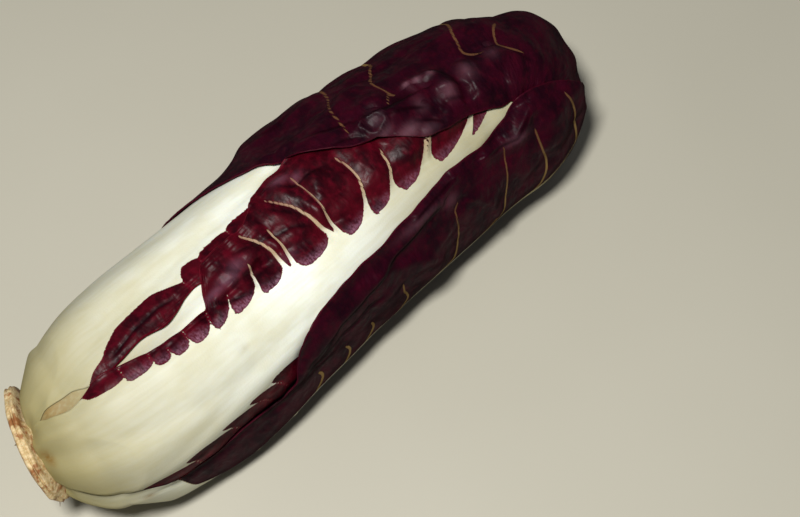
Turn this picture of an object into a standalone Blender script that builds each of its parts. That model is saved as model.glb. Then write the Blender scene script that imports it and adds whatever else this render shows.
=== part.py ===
"""A treviso radicchio head lying on its side: a cut root stub and its stem, with leaves wrapped round it.

The leaves are laid one over another, from the heart outwards. A map of the head's surface, place along the
head by angle about it, holds how far out the leaves laid so far reach. Each new leaf rests on that map, just
clear of it, and then raises it by its own thickness. Once all are laid, the stack is scaled to the head's
outline, bent along its centreline and flattened where it lies on z = 0.

Places along the head are measured over its surface, from the leaves' bases to the tip, where the surface
closes in a dome. Angles about it are measured from straight up towards the front (-Y). +X runs to the tip.
A leaf is a sheet rolled round the head. It has its own place along and angle about the head, which follow
the head's up to the dome and then run straight on over it and past its tip.
"""

import math

import bmesh
import bpy
import numpy as np

# The head's outline: distance from the leaf bases along the head, and radius there.
OUTLINE = [
    (0.000, 0.0160),
    (0.004, 0.0205),
    (0.013, 0.0270),
    (0.028, 0.0318),
    (0.050, 0.0330),
    (0.090, 0.0328),
    (0.130, 0.0335),
    (0.155, 0.0325),
    (0.178, 0.0305),
]
DOME_START = 0.178  # the rounded end begins here
DOME_LENGTH = 0.034  # from there to the tip
DOME_RADIUS = 0.030  # its mean radius, used for lengths over it
# The centreline's heading, in degrees towards the back (+Y), along the head.
HEADINGS = [
    (-0.010, -16.0),
    (0.022, -4.0),
    (0.050, 5.0),
    (0.110, 6.0),
    (0.150, 2.0),
    (0.178, -6.0),
]

# The root stub that the knife left is a short drum. The stem runs on from it inside the leaves, as a cone.
# Places along it are measured from the leaves' bases, and the stub's are below zero.
STUB_PROFILE = [
    (-0.0028, 0.0162),
    (-0.0024, 0.0168),
    (-0.0016, 0.0170),
    (-0.0012, 0.0165),
    (-0.0008, 0.0170),
    (-0.0003, 0.0168),
]
STEM_FOOT_RADIUS = 0.0115
STEM_TOP_RADIUS = 0.0020
STEM_TOP = 0.046
STEM_BENDS = [0.0, 0.003, 0.006, 0.010, 0.014, 0.019, 0.026, 0.035]  # where its outline turns
STEM_SIDES = 24

# Leaves.
LEAF_COUNT = 20
DARK_LEAVES = 2  # the outermost ones, which saw the most light
FIRST_ANGLE = 107.5  # the outermost leaf's rib
GOLDEN_ANGLE = 137.5
OUTER_BASE_STEP = 0.0003  # each leaf further in starts this much higher on the stem, among the outer leaves
INNER_BASE_STEP = 0.0026  # and among the inner ones
BASE_CLEARANCE = 0.0004
BLADE_THICKNESS = 0.0009
GAP = 0.0008  # clear space that a leaf keeps from what it lies on
# Along a leaf: its rib's thickness, its rib's half width and its own half width, both in degrees.
RIB_THICKNESS = [
    (0.0, 0.0022),
    (0.006, 0.0036),
    (0.030, 0.0050),
    (0.080, 0.0040),
    (0.130, 0.0026),
    (0.180, 0.0014),
    (0.240, 0.0010),
]
RIB_HALF_ANGLE = [
    (0.0, 30.0),
    (0.020, 30.0),
    (0.045, 25.0),
    (0.080, 17.0),
    (0.120, 10.0),
    (0.170, 6.0),
    (0.240, 5.0),
]
HALF_ANGLE = [
    (0.0, 37.0),
    (0.020, 42.0),
    (0.050, 52.0),
    (0.085, 68.0),
    (0.120, 78.0),
    (0.170, 80.0),
    (0.240, 78.0),
]
TURNED_OVER_TIP = [84.0, 72.0, 60.0]  # how far over the dome the inner leaves end, in turn
INNER_RIB_SHARE = 0.45  # the innermost leaf's rib thickness over the outermost's
TIP_TAPER = 0.034  # length over which a leaf narrows to its tip
TIP_WIDTH_SHARE = 0.40  # width left at the very tip
LOOSE_FROM = 7  # from this leaf inwards the head is loose, with air between the leaves
HEART_REACH = 0.16  # the innermost leaf's distance from the axis over the outline's
LOOSE_REACH = 0.74  # the same for the first loose leaf
# The most that a leaf reaches over the outline, along the head. A squeeze towards it is spread this far.
STAND_OUT = [(0.0, 1.06), (0.012, 1.10), (0.030, 1.14), (0.060, 1.20), (0.240, 1.20)]
STAND_OUT_SPREAD = 0.005
OUTLINE_SPREAD = 0.012  # length over which the stack's fit to the outline is averaged
REST_DEPTH = 0.0024  # how far the head's own weight flattens its underside
LEVEL_WITHIN = 0.0001  # points this close to the ground are on it
LEAN = 0.012  # how much lower the head sinks along its length, tip first, to lie level on its underside
# The knife's cut and the leaf bases slant: they lie furthest forward on the side that faces this way, and
# this much further back a quarter turn away. The slant fades out along the head.
SLANT_FACING = 22.0
SLANT = 0.0040
SLANT_FADES = (0.008, 0.045)

# Mesh fineness.
MAP_STEP = 0.002
MAP_COLUMNS = 180
LEAST_GIRTH = 0.002  # the radius that angles count with at the tip
# A leaf's stations up to the dome, as shares of the way.
OUTER_BODY = [0.0, 0.015, 0.04, 0.08, 0.14, 0.23, 0.33, 0.43, 0.53, 0.64, 0.75, 0.87, 1.0]
INNER_BODY = [0.0, 0.10, 0.25, 0.50, 0.75, 1.0]
OUTER_DOME_STEP, INNER_DOME_STEP = 13.0, 20.0  # degrees between stations over the dome
OUTER_COLUMNS, INNER_COLUMNS = 13, 9
BRIDGING = 1.6  # how far a leaf bridges over what lies under it, over its mesh's spacing
SMOOTHING = 0.25  # how far its surface is smoothed, over how far it bridges
LEAST_SPREAD = 0.5  # radians of width that a narrow leaf's spacing counts with
EDGE_ALLOWANCE = 0.03  # radians that a leaf's straight edges may stand out from its true margin
SKEW_SHARE = 0.4  # share of a margin's sideways run between stations that counts as spacing
SHARP_ANGLE = math.radians(50)  # shading breaks at edges sharper than this

# Colours (linear) and roughness.
LOOKS = {
    "dark_leaf": ((0.060, 0.012, 0.024), 0.42),
    "red_leaf": ((0.270, 0.018, 0.060), 0.38),
    "root": ((0.640, 0.500, 0.310), 0.75),
}

SURFACE_LENGTH = DOME_START + DOME_RADIUS * math.pi / 2


def smooth_line(points, at):
    """A smooth line through the points that doesn't overshoot them (a monotone cubic)."""
    x = np.array([p[0] for p in points], float)
    y = np.array([p[1] for p in points], float)
    step = np.diff(x)
    slope = np.diff(y) / step
    tangent = np.zeros(len(x))
    same = slope[:-1] * slope[1:] > 0
    inner = np.zeros(len(x) - 2)
    inner[same] = 2 * slope[:-1][same] * slope[1:][same] / (slope[:-1][same] + slope[1:][same])
    tangent[1:-1] = inner
    tangent[0] = slope[0]
    tangent[-1] = slope[-1]
    at = np.clip(np.asarray(at, float), x[0], x[-1])
    i = np.clip(np.searchsorted(x, at, side="right") - 1, 0, len(x) - 2)
    h = step[i]
    t = (at - x[i]) / h
    return (
        (1 + 2 * t) * (1 - t) ** 2 * y[i]
        + t * (1 - t) ** 2 * h * tangent[i]
        + t**2 * (3 - 2 * t) * y[i + 1]
        + t**2 * (t - 1) * h * tangent[i + 1]
    )


def ease(low, high, value):
    """0 below low, 1 above high, and a smooth step between them."""
    t = np.clip((np.asarray(value, float) - low) / (high - low), 0, 1)
    return t * t * (3 - 2 * t)


def half_turn(angle):
    """The same angle between minus and plus half a turn."""
    return (angle + math.pi) % (2 * math.pi) - math.pi


# ---------------------------------------------------------------- the head's surface


def dome_angle(s):
    """How far over the rounded end a place is: 0 along the body, a right angle at the tip."""
    return np.maximum(np.asarray(s, float) - DOME_START, 0) / DOME_RADIUS


def outline_reach(s):
    """The outline's distance from the axis, or from the dome's centre."""
    psi = dome_angle(s)
    dome = 1 / np.sqrt((np.cos(psi) / OUTLINE[-1][1]) ** 2 + (np.sin(psi) / DOME_LENGTH) ** 2)
    return np.where(psi > 0, dome, smooth_line(OUTLINE, s))


class SurfaceMap:
    """Heights on the head's surface, by place along it and angle about it."""

    def __init__(self):
        self.rows = int(round(SURFACE_LENGTH / MAP_STEP)) + 1
        self.s = np.linspace(0, SURFACE_LENGTH, self.rows)
        self.theta = np.arange(MAP_COLUMNS) * 2 * math.pi / MAP_COLUMNS
        self.grid_s, self.grid_theta = np.meshgrid(self.s, self.theta, indexing="ij")
        self.reach = outline_reach(self.s)
        self.girth = np.maximum(self.reach * np.cos(dome_angle(self.s)), LEAST_GIRTH)

    def sample(self, heights, s, theta):
        row = np.clip(np.asarray(s) / self.s[1], 0, self.rows - 1.001)
        column = np.asarray(theta) / (2 * math.pi) * MAP_COLUMNS
        i = np.floor(row).astype(int)
        j = np.floor(column).astype(int)
        a = row - i
        b = column - j
        j0 = j % MAP_COLUMNS
        j1 = (j + 1) % MAP_COLUMNS
        return (1 - a) * ((1 - b) * heights[i, j0] + b * heights[i, j1]) + a * (
            (1 - b) * heights[i + 1, j0] + b * heights[i + 1, j1]
        )

    def extend(self, heights, count):
        """The heights with rows added at both ends: those past the tip come down its far side."""
        before = np.repeat(heights[:1], count, axis=0)
        after = np.roll(heights[-2 : -2 - count : -1], MAP_COLUMNS // 2, axis=1)
        return np.concatenate([before, heights, after])

    def settle(self, heights, along, across):
        """The surface that a stiff sheet takes over the heights: their peaks spread, then smoothed.

        along is how far it bridges along the head, and across is the same about it, both for each row.
        """
        spread = heights.copy()
        columns = np.minimum(across / self.girth, math.pi) / (2 * math.pi) * MAP_COLUMNS
        for shift in range(1, int(columns.max()) + 1):
            wide = columns >= shift
            for turn in (shift, -shift):
                spread[wide] = np.maximum(spread[wide], np.roll(heights[wide], turn, axis=1))
        count = int(math.ceil(along.max() / MAP_STEP))
        padded = self.extend(spread, count)
        for shift in range(-count, count + 1):
            wide = along >= abs(shift) * MAP_STEP
            shifted = padded[count + shift : count + shift + self.rows]
            spread[wide] = np.maximum(spread[wide], shifted[wide])
        padded = self.extend(spread, count)
        offsets = np.arange(-count, count + self.rows)[None, :] - np.arange(self.rows)[:, None]
        sigma = np.maximum(along * SMOOTHING / MAP_STEP, 0.5)[:, None]
        weights = np.exp(-((offsets / sigma) ** 2) / 2)
        smooth = weights @ padded / weights.sum(axis=1, keepdims=True)
        waves = np.arange(MAP_COLUMNS // 2 + 1)
        sigma = columns[:, None] * SMOOTHING * 2 * math.pi / MAP_COLUMNS
        damping = np.exp(-((waves[None, :] * sigma) ** 2) / 2)
        return np.fft.irfft(np.fft.rfft(smooth, axis=1) * damping, MAP_COLUMNS, axis=1)


# ---------------------------------------------------------------- leaves


class Leaf:
    """One leaf's shape. Its angles are in degrees from the direction that its sheet faces."""

    def __init__(self, order, name, facing, end, rib=0.0, left=None, right=None, rib_width=None):
        self.order = order
        self.name = name
        self.facing = math.radians(facing)
        self.rib_points = rib if isinstance(rib, list) else [(0.0, rib), (0.240, rib)]
        self.left_points = left or [(u, self.rib_points[0][1] - half) for u, half in HALF_ANGLE]
        self.right_points = right or [(u, self.rib_points[0][1] + half) for u, half in HALF_ANGLE]
        self.rib_width_points = rib_width or RIB_HALF_ANGLE
        inner = max(order - LOOSE_FROM, 0)
        self.start = BASE_CLEARANCE + OUTER_BASE_STEP * (order - inner) + INNER_BASE_STEP * inner
        self.end = DOME_START + DOME_RADIUS * math.radians(end)
        self.rib_scale = 1 - (1 - INNER_RIB_SHARE) * order / (LEAF_COUNT - 1)
        shown = order <= LOOSE_FROM
        body = self.start + (DOME_START - self.start) * np.array(OUTER_BODY if shown else INNER_BODY)
        dome_step = DOME_RADIUS * math.radians(OUTER_DOME_STEP if shown else INNER_DOME_STEP)
        count = int(math.ceil((self.end - DOME_START) / dome_step))
        self.u = np.concatenate([body, np.linspace(DOME_START, self.end, count + 1)[1:]])
        self.columns = OUTER_COLUMNS if shown else INNER_COLUMNS

    def rib_at(self, u):
        return np.radians(smooth_line(self.rib_points, u))

    def margins_at(self, u):
        """The angles of the leaf's two edges. Towards its tip they close in on each other."""
        left = np.radians(smooth_line(self.left_points, u))
        right = np.radians(smooth_line(self.right_points, u))
        over = np.clip((np.asarray(u) - (self.end - TIP_TAPER)) / TIP_TAPER, 0, 1)
        width = 1 - (1 - TIP_WIDTH_SHARE) * over**2
        middle = (left + right) / 2
        return middle + (left - middle) * width, middle + (right - middle) * width

    def bridging(self, surface):
        """How far the leaf's flat facets reach along and across the head, and how far they dip, by row."""
        left, right = self.margins_at(self.u)
        skew = np.maximum(np.abs(np.diff(left)), np.abs(np.diff(right)))
        width = np.maximum(right - left, LEAST_SPREAD)
        middles = (self.u[1:] + self.u[:-1]) / 2
        spacing = np.interp(surface.s, middles, np.diff(self.u))
        turn = np.interp(surface.s, middles, skew * SKEW_SHARE + width[:-1] / (self.columns - 1))
        over_dome = np.where(dome_angle(surface.s) > 0, np.cos(spacing / DOME_RADIUS / 2), 1)
        dip = 1 - np.cos(turn / 2) * over_dome
        return BRIDGING * spacing, BRIDGING * turn * surface.reach, (dip * surface.reach)[:, None]

    def thickness_at(self, u, phi):
        rib_width = np.radians(smooth_line(self.rib_width_points, u))
        across = np.minimum(np.abs(phi - self.rib_at(u)) / rib_width, 1)
        rib = smooth_line(RIB_THICKNESS, u) * self.rib_scale
        return BLADE_THICKNESS + np.maximum(rib - BLADE_THICKNESS, 0) * (1 - across**4) ** 2

    def to_map(self, u, phi):
        """The head's place and angle for the sheet's own."""
        psi = dome_angle(u)
        forward = np.cos(phi) * np.sin(psi)
        over = dome_angle(u) > 0
        s = np.where(over, DOME_START + DOME_RADIUS * np.arcsin(np.clip(forward, -1, 1)), u)
        theta = np.where(over, np.arctan2(np.sin(phi), np.cos(phi) * np.cos(psi)), phi)
        return s, theta + self.facing

    def from_map(self, s, theta):
        """The sheet's own place and angle for the head's."""
        psi = dome_angle(s)
        turn = half_turn(theta - self.facing)
        over = psi > 0
        up = np.cos(psi) * np.cos(turn)
        u = np.where(over, DOME_START + DOME_RADIUS * np.arctan2(np.sin(psi), up), s)
        phi = np.where(over, np.arcsin(np.clip(np.cos(psi) * np.sin(turn), -1, 1)), turn)
        return u, phi


def make_leaves():
    """The leaves, outermost first. The ones that show have edges of their own."""
    front = Leaf(
        0,
        "leaf_01_front_wrapper",
        71.5,
        rib=[
            (0.000, 44), (0.030, 54), (0.045, 54), (0.060, 47), (0.080, 39), (0.150, 36.5), (0.171, 35),
            (0.182, 31), (0.190, 26), (0.200, 17), (0.240, 0),
        ],
        left=[
            (0.000, 8), (0.010, 10), (0.019, 11), (0.031, 17.5), (0.050, 15), (0.060, 16), (0.068, 13),
            (0.074, -8), (0.085, -19), (0.099, -23.5), (0.118, -25), (0.137, -28), (0.154, -29), (0.173, -33),
            (0.182, -41), (0.190, -44), (0.240, -50),
        ],
        right=[(0.000, 66), (0.050, 72), (0.150, 78), (0.240, 78)],
        end=60,
    )
    back = Leaf(
        1,
        "leaf_02_back_wrapper",
        -38.5,
        rib=[
            (0.000, -72), (0.020, -80), (0.040, -86), (0.060, -78), (0.085, -64), (0.110, -56), (0.130, -54),
            (0.240, -54),
        ],
        left=[(0.000, -110), (0.030, -120), (0.100, -120), (0.150, -104), (0.176, -84), (0.240, -80)],
        right=[
            (0.000, -60), (0.040, -72), (0.056, -62), (0.073, -36), (0.085, -18), (0.094, -5), (0.101, 3),
            (0.107, 10), (0.112, 22), (0.118, 32), (0.125, 40), (0.134, 46.5), (0.148, 61), (0.162, 64.5),
            (0.170, 67), (0.186, 72), (0.240, 72),
        ],
        end=108,
    )
    top = Leaf(
        2,
        "leaf_03_top",
        36.5,
        rib=[(0.000, 0), (0.045, 0), (0.082, 2.5), (0.110, 6), (0.130, 8), (0.150, 5), (0.181, -5), (0.240, -12)],
        left=[
            (0.000, -31), (0.004, -32), (0.008, -27), (0.014, -24), (0.025, -29), (0.037, -25), (0.050, -22),
            (0.059, -22), (0.062, -30), (0.068, -40), (0.083, -42), (0.093, -51), (0.106, -58), (0.240, -62),
        ],
        right=[(0.000, 52), (0.018, 56), (0.040, 62), (0.080, 66), (0.240, 65)],
        end=80,
    )
    under = Leaf(3, "leaf_04_underside", 176, end=88)
    side = Leaf(
        4,
        "leaf_05_back_rib",
        -28.5,
        rib=[(0.000, -18), (0.040, -22), (0.240, -22)],
        left=[(0.000, -58), (0.020, -60), (0.050, -72), (0.100, -84), (0.240, -80)],
        right=[
            (0.000, 35), (0.004, 36), (0.008, 31.5), (0.016, 32), (0.021, 36), (0.025, 37.5), (0.032, 36), (0.040, 34),
            (0.049, 36), (0.058, 31.5), (0.062, 29), (0.070, 33), (0.080, 36), (0.120, 45), (0.240, 50),
        ],
        rib_width=[
            (0.0, 45), (0.016, 46), (0.025, 44), (0.035, 39), (0.060, 36), (0.100, 27), (0.130, 14), (0.240, 6),
        ],
        end=78,
    )
    leaves = [front, back, top, under, side]
    for order in range(len(leaves), LEAF_COUNT):
        angle = FIRST_ANGLE + GOLDEN_ANGLE * order
        end = TURNED_OVER_TIP[order % len(TURNED_OVER_TIP)]
        leaves.append(Leaf(order, f"leaf_{order + 1:02d}_inner", angle, end=end))
    return leaves


def lay_leaves(leaves, surface):
    """Lays the leaves from the heart outwards. Returns each one's underside, and the whole stack's reach."""
    stem = np.interp(surface.s, [0, STEM_TOP], [STEM_FOOT_RADIUS, STEM_TOP_RADIUS])
    heights = np.repeat(stem[:, None], MAP_COLUMNS, axis=1)
    undersides = {}
    for leaf in reversed(leaves):
        along, across, dip = leaf.bridging(surface)
        under = surface.settle(heights, along, across) + GAP + dip
        if leaf.order >= LOOSE_FROM:
            outwards = (LEAF_COUNT - leaf.order) / (LEAF_COUNT - LOOSE_FROM)
            loose = HEART_REACH + (LOOSE_REACH - HEART_REACH) * outwards
            under = np.maximum(under, (surface.reach * loose)[:, None])
        undersides[leaf.name] = under
        u, phi = leaf.from_map(surface.grid_s, surface.grid_theta)
        left, right = leaf.margins_at(u)
        inside = (phi > left - EDGE_ALLOWANCE) & (phi < right + EDGE_ALLOWANCE)
        inside &= (u >= leaf.start) & (u < leaf.end + MAP_STEP)
        heights = np.where(inside, under + leaf.thickness_at(u, phi), heights)
    return undersides, heights


# ---------------------------------------------------------------- from the stack to the world


class Placing:
    """Turns a place in the stack into a point in the world."""

    def __init__(self, surface, heights):
        self.surface = surface
        width = int(round(OUTLINE_SPREAD / MAP_STEP))
        padded = np.pad(surface.reach / heights.mean(axis=1), width, mode="edge")
        self.scale = np.convolve(padded, np.ones(2 * width + 1) / (2 * width + 1), mode="valid")
        self.line_s = np.linspace(HEADINGS[0][0], DOME_START, 400)
        self.heading = np.radians(smooth_line(HEADINGS, self.line_s))
        step = self.line_s[1] - self.line_s[0]
        self.line_x = np.cumsum(np.cos(self.heading)) * step
        self.line_y = np.cumsum(np.sin(self.heading)) * step
        outer = heights * self.scale[:, None]
        spread = np.full(surface.rows, STAND_OUT_SPREAD)
        limit = surface.reach * smooth_line(STAND_OUT, surface.s)
        self.squeeze = np.minimum(1, limit[:, None] / surface.settle(outer, spread, spread))
        down = -np.cos(surface.grid_theta) * np.cos(dome_angle(surface.grid_s)) * outer * self.squeeze
        sunk = LEAN * np.minimum(surface.grid_s, DOME_START)
        self.ground = (down + sunk).max() - REST_DEPTH
        self.squeeze *= np.minimum(1, (self.ground - sunk) / np.maximum(down, self.ground / 2))

    def points(self, s, theta, height):
        scale = np.interp(s, self.surface.s, self.scale)
        return self.place(s, theta, height * scale * self.surface.sample(self.squeeze, s, theta))

    def place(self, s, theta, reach):
        """The point at a true distance from the axis, or from the dome's centre."""
        psi = dome_angle(s)
        slant = SLANT * (1 - np.cos(theta - math.radians(SLANT_FACING)))
        along = np.minimum(s, DOME_START) + slant * (1 - ease(*SLANT_FADES, s))
        heading = np.interp(along, self.line_s, self.heading)
        forward = reach * np.sin(psi)
        side = -reach * np.cos(psi) * np.sin(theta)
        up = reach * np.cos(psi) * np.cos(theta)
        x = np.interp(along, self.line_s, self.line_x) + forward * np.cos(heading) - side * np.sin(heading)
        y = np.interp(along, self.line_s, self.line_y) + forward * np.sin(heading) + side * np.cos(heading)
        z = self.ground + up - LEAN * along
        return np.stack([x, y, np.where(z < LEVEL_WITHIN, 0, z)], axis=-1)


# ---------------------------------------------------------------- solids


def leaf_rings(leaf, surface, under, placing):
    """The leaf's cross-sections from its foot to its tip: each ring runs over its outside and back inside."""
    left, right = leaf.margins_at(leaf.u)
    phi = np.linspace(left, right, leaf.columns, axis=1)
    stations = np.repeat(leaf.u[:, None], leaf.columns, axis=1)
    s, theta = leaf.to_map(stations, phi)
    low = surface.sample(under, s, theta)
    high = low + leaf.thickness_at(stations, phi)
    outside = placing.points(s, theta, high)
    inside = placing.points(s, theta, low)
    return np.concatenate([outside, inside[:, ::-1]], axis=1)


def make_materials():
    materials = {}
    for name, (colour, roughness) in LOOKS.items():
        material = bpy.data.materials.new(name)
        material.use_nodes = True
        shader = material.node_tree.nodes["Principled BSDF"]
        shader.inputs["Base Color"].default_value = (*colour, 1)
        shader.inputs["Roughness"].default_value = roughness
        material.diffuse_color = (*colour, 1)
        materials[name] = material
    return materials


def loft(name, rings, material, collection):
    """A closed solid through rings that each have the same number of points.

    Its faces split along one diagonal over the first half of a ring and along the other over the second.
    So a thin leaf's two sides, which face each other, split alike and can't cross.
    """
    mesh = bpy.data.meshes.new(name)
    bm = bmesh.new()
    rows = [[bm.verts.new(point) for point in ring] for ring in rings]
    count = len(rows[0])
    half = count // 2
    for first, second in zip(rows[:-1], rows[1:]):
        for k in range(count):
            after = (k + 1) % count
            if k < half:
                bm.faces.new((first[k], first[after], second[after]))
                bm.faces.new((first[k], second[after], second[k]))
            else:
                bm.faces.new((first[k], first[after], second[k]))
                bm.faces.new((first[after], second[after], second[k]))
    for row in (rows[0], rows[-1]):
        for k in range(half - 1):
            bm.faces.new((row[k], row[k + 1], row[count - 2 - k], row[count - 1 - k]))
    bmesh.ops.recalc_face_normals(bm, faces=bm.faces)
    bm.to_mesh(mesh)
    bm.free()
    mesh.shade_smooth()
    mesh.set_sharp_from_angle(angle=SHARP_ANGLE)
    mesh.materials.append(material)
    obj = bpy.data.objects.new(name, mesh)
    collection.objects.link(obj)
    return obj


def stem_rings(placing):
    """The stub's and the stem's round cross-sections, from the cut face to the heart."""
    theta = np.arange(STEM_SIDES) * 2 * math.pi / STEM_SIDES
    level = np.ones(STEM_SIDES)
    stub = [placing.place(level * s, theta, level * reach) for s, reach in STUB_PROFILE]
    stem = []
    for s in [*STEM_BENDS, STEM_TOP]:
        height = np.interp(s, [0, STEM_TOP], [STEM_FOOT_RADIUS, STEM_TOP_RADIUS])
        stem.append(placing.points(level * s, theta, level * height))
    return stub + stem


def main():
    for obj in list(bpy.data.objects):
        bpy.data.objects.remove(obj)
    collection = bpy.data.collections.new("treviso_radicchio_head")
    bpy.context.scene.collection.children.link(collection)
    materials = make_materials()
    surface = SurfaceMap()
    leaves = make_leaves()
    undersides, heights = lay_leaves(leaves, surface)
    placing = Placing(surface, heights)
    solids = {"stem": (stem_rings(placing), "root")}
    for leaf in leaves:
        look = "dark_leaf" if leaf.order < DARK_LEAVES else "red_leaf"
        solids[leaf.name] = (leaf_rings(leaf, surface, undersides[leaf.name], placing), look)
    corners = np.concatenate([np.reshape(rings, (-1, 3)) for rings, look in solids.values()])
    centre = (corners.min(axis=0) + corners.max(axis=0)) / 2 * np.array([1, 1, 0])
    for name, (rings, look) in solids.items():
        loft(name, np.array(rings) - centre, materials[look], collection)


main()
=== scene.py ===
"""The looks of the treviso radicchio head: fine leaves and root over the CAD ones, materials and light.

The leaves are laid as the CAD model's are, one over another from the heart outwards, on a much finer map of
the head's surface. Places along the head are in metres over its surface, from the leaves' bases to the tip.
Angles about it are in degrees from straight up towards the front (-Y). Each leaf is a sheet with its own
place u along and angle phi about the head, measured from the direction that it faces. A line is a list of
(place, value), and one number stands for a line that is the same all the way.
"""

import math

import bpy
import numpy as np
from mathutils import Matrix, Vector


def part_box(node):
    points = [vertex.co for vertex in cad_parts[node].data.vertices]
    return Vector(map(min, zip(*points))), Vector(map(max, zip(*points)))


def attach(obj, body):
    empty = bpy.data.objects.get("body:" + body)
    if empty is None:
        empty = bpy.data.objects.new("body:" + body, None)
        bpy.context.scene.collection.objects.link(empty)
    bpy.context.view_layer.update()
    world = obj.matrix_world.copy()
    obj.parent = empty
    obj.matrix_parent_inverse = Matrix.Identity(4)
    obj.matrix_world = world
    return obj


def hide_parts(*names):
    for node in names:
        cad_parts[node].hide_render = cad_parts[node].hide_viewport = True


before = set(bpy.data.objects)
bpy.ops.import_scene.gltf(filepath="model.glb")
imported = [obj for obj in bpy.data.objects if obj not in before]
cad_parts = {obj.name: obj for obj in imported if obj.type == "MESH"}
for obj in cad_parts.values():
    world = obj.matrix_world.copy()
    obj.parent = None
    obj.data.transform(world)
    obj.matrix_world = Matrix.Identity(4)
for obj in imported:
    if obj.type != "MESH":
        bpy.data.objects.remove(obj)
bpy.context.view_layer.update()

# ---------------------------------------------------------------- the head, as the CAD model has it

# The body's reach from its axis, the rounded end, and the headings that bend the axis.
OUTLINE = [
    (0.0, 0.016), (0.004, 0.0205), (0.013, 0.027), (0.028, 0.0318), (0.05, 0.033), (0.09, 0.0328),
    (0.13, 0.0335), (0.155, 0.0325), (0.178, 0.0305),
]
DOME_START = 0.178
DOME_LENGTH = 0.034
DOME_RADIUS = 0.030
SURFACE_LENGTH = DOME_START + DOME_RADIUS * math.pi / 2
HEADINGS = [(-0.01, -16.0), (0.022, -4.0), (0.05, 5.0), (0.11, 6.0), (0.15, 2.0), (0.178, -6.0)]

# The stub's side from its cut face to the leaves, and the stem inside them.
STUB_PROFILE = [
    (-0.0028, 0.0158), (-0.0025, 0.0166), (-0.002, 0.017), (-0.0016, 0.0169), (-0.0013, 0.0163),
    (-0.001, 0.0168), (-0.0006, 0.0171), (-0.0002, 0.0168),
]
STEM_FOOT_RADIUS = 0.0115
STEM_TOP_RADIUS = 0.0020
STEM_TOP = 0.046

# The leaves: where they start and what they face, and their ribs and half widths as lines along them.
LEAF_COUNT = 20
FIRST_ANGLE = 107.5
GOLDEN_ANGLE = 137.5
OUTER_BASE_STEP = 0.0003
INNER_BASE_STEP = 0.0026
BASE_CLEARANCE = 0.0004
LONGEST = 0.240
RIB_THICKNESS = [
    (0.0, 0.0022), (0.006, 0.0036), (0.03, 0.005), (0.08, 0.004), (0.13, 0.0026), (0.18, 0.0014),
    (0.24, 0.001),
]
RIB_HALF_ANGLE = [
    (0.0, 30.0), (0.02, 30.0), (0.045, 25.0), (0.08, 17.0), (0.12, 10.0), (0.17, 6.0), (0.24, 5.0),
]
HALF_ANGLE = [
    (0.0, 37.0), (0.02, 42.0), (0.05, 52.0), (0.085, 68.0), (0.12, 78.0), (0.17, 80.0), (0.24, 78.0),
]
TURNED_OVER_TIP = [84.0, 72.0, 60.0]
INNER_RIB_SHARE = 0.45
TIP_TAPER = 0.034

# The inner leaves are loose: they keep at least these shares of the body's reach, from the heart outwards.
LOOSE_FROM = 7
HEART_REACH = 0.16
LOOSE_REACH = 0.74

# How the whole stack is brought to the body's outline, laid on the ground and cut at a slant.
STAND_OUT = [(0.0, 1.06), (0.012, 1.1), (0.03, 1.14), (0.06, 1.2), (0.24, 1.2)]
OUTLINE_SPREAD = 0.012
REST_DEPTH = 0.0024
LEAN = 0.012
SLANT = 0.0040
SLANT_FACING = 22.0
SLANT_FADES = (0.008, 0.045)

# ---------------------------------------------------------------- fineness of the looks

MAP_STEP = 0.00075
MAP_COLUMNS = 480
LEAST_GIRTH = 0.0015

# A leaf bridges hollows narrower than BRIDGE, but for its edge, which clings to what it lies on.
GAP = 0.0002
BRIDGE = 0.004
SMOOTHING = 0.3
CLING = 0.007
EDGE_SMOOTHING = 0.0008
EDGE_SOFTNESS = 0.0005

# Rows along a leaf, and points over its outside and its inside.
FINEST, FINE, MIDDLING, COARSE = (400, 190, 20), (220, 90, 30), (150, 70, 30), (64, 28, 12)


def smooth_line(points, at):
    """A smooth line through the points that doesn't overshoot them (a monotone cubic)."""
    x = np.array([p[0] for p in points], float)
    y = np.array([p[1] for p in points], float)
    step = np.diff(x)
    slope = np.diff(y) / step
    tangent = np.zeros(len(x))
    same = slope[:-1] * slope[1:] > 0
    inner = np.zeros(len(x) - 2)
    inner[same] = 2 * slope[:-1][same] * slope[1:][same] / (slope[:-1][same] + slope[1:][same])
    tangent[1:-1] = inner
    tangent[0] = slope[0]
    tangent[-1] = slope[-1]
    at = np.clip(np.asarray(at, float), x[0], x[-1])
    i = np.clip(np.searchsorted(x, at, side="right") - 1, 0, len(x) - 2)
    h = step[i]
    t = (at - x[i]) / h
    return (
        (1 + 2 * t) * (1 - t) ** 2 * y[i]
        + t * (1 - t) ** 2 * h * tangent[i]
        + t**2 * (3 - 2 * t) * y[i + 1]
        + t**2 * (t - 1) * h * tangent[i + 1]
    )


def as_line(value):
    """The line for a number that is the same all the way, or the line itself."""
    return value if isinstance(value, list) else [(0.0, value), (LONGEST, value)]


def ease(low, high, value):
    """0 below low, 1 above high, and a smooth step between them."""
    t = np.clip((np.asarray(value, float) - low) / (high - low), 0, 1)
    return t * t * (3 - 2 * t)


def half_turn(angle):
    """The same angle between minus and plus half a turn."""
    return (angle + math.pi) % (2 * math.pi) - math.pi


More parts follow.
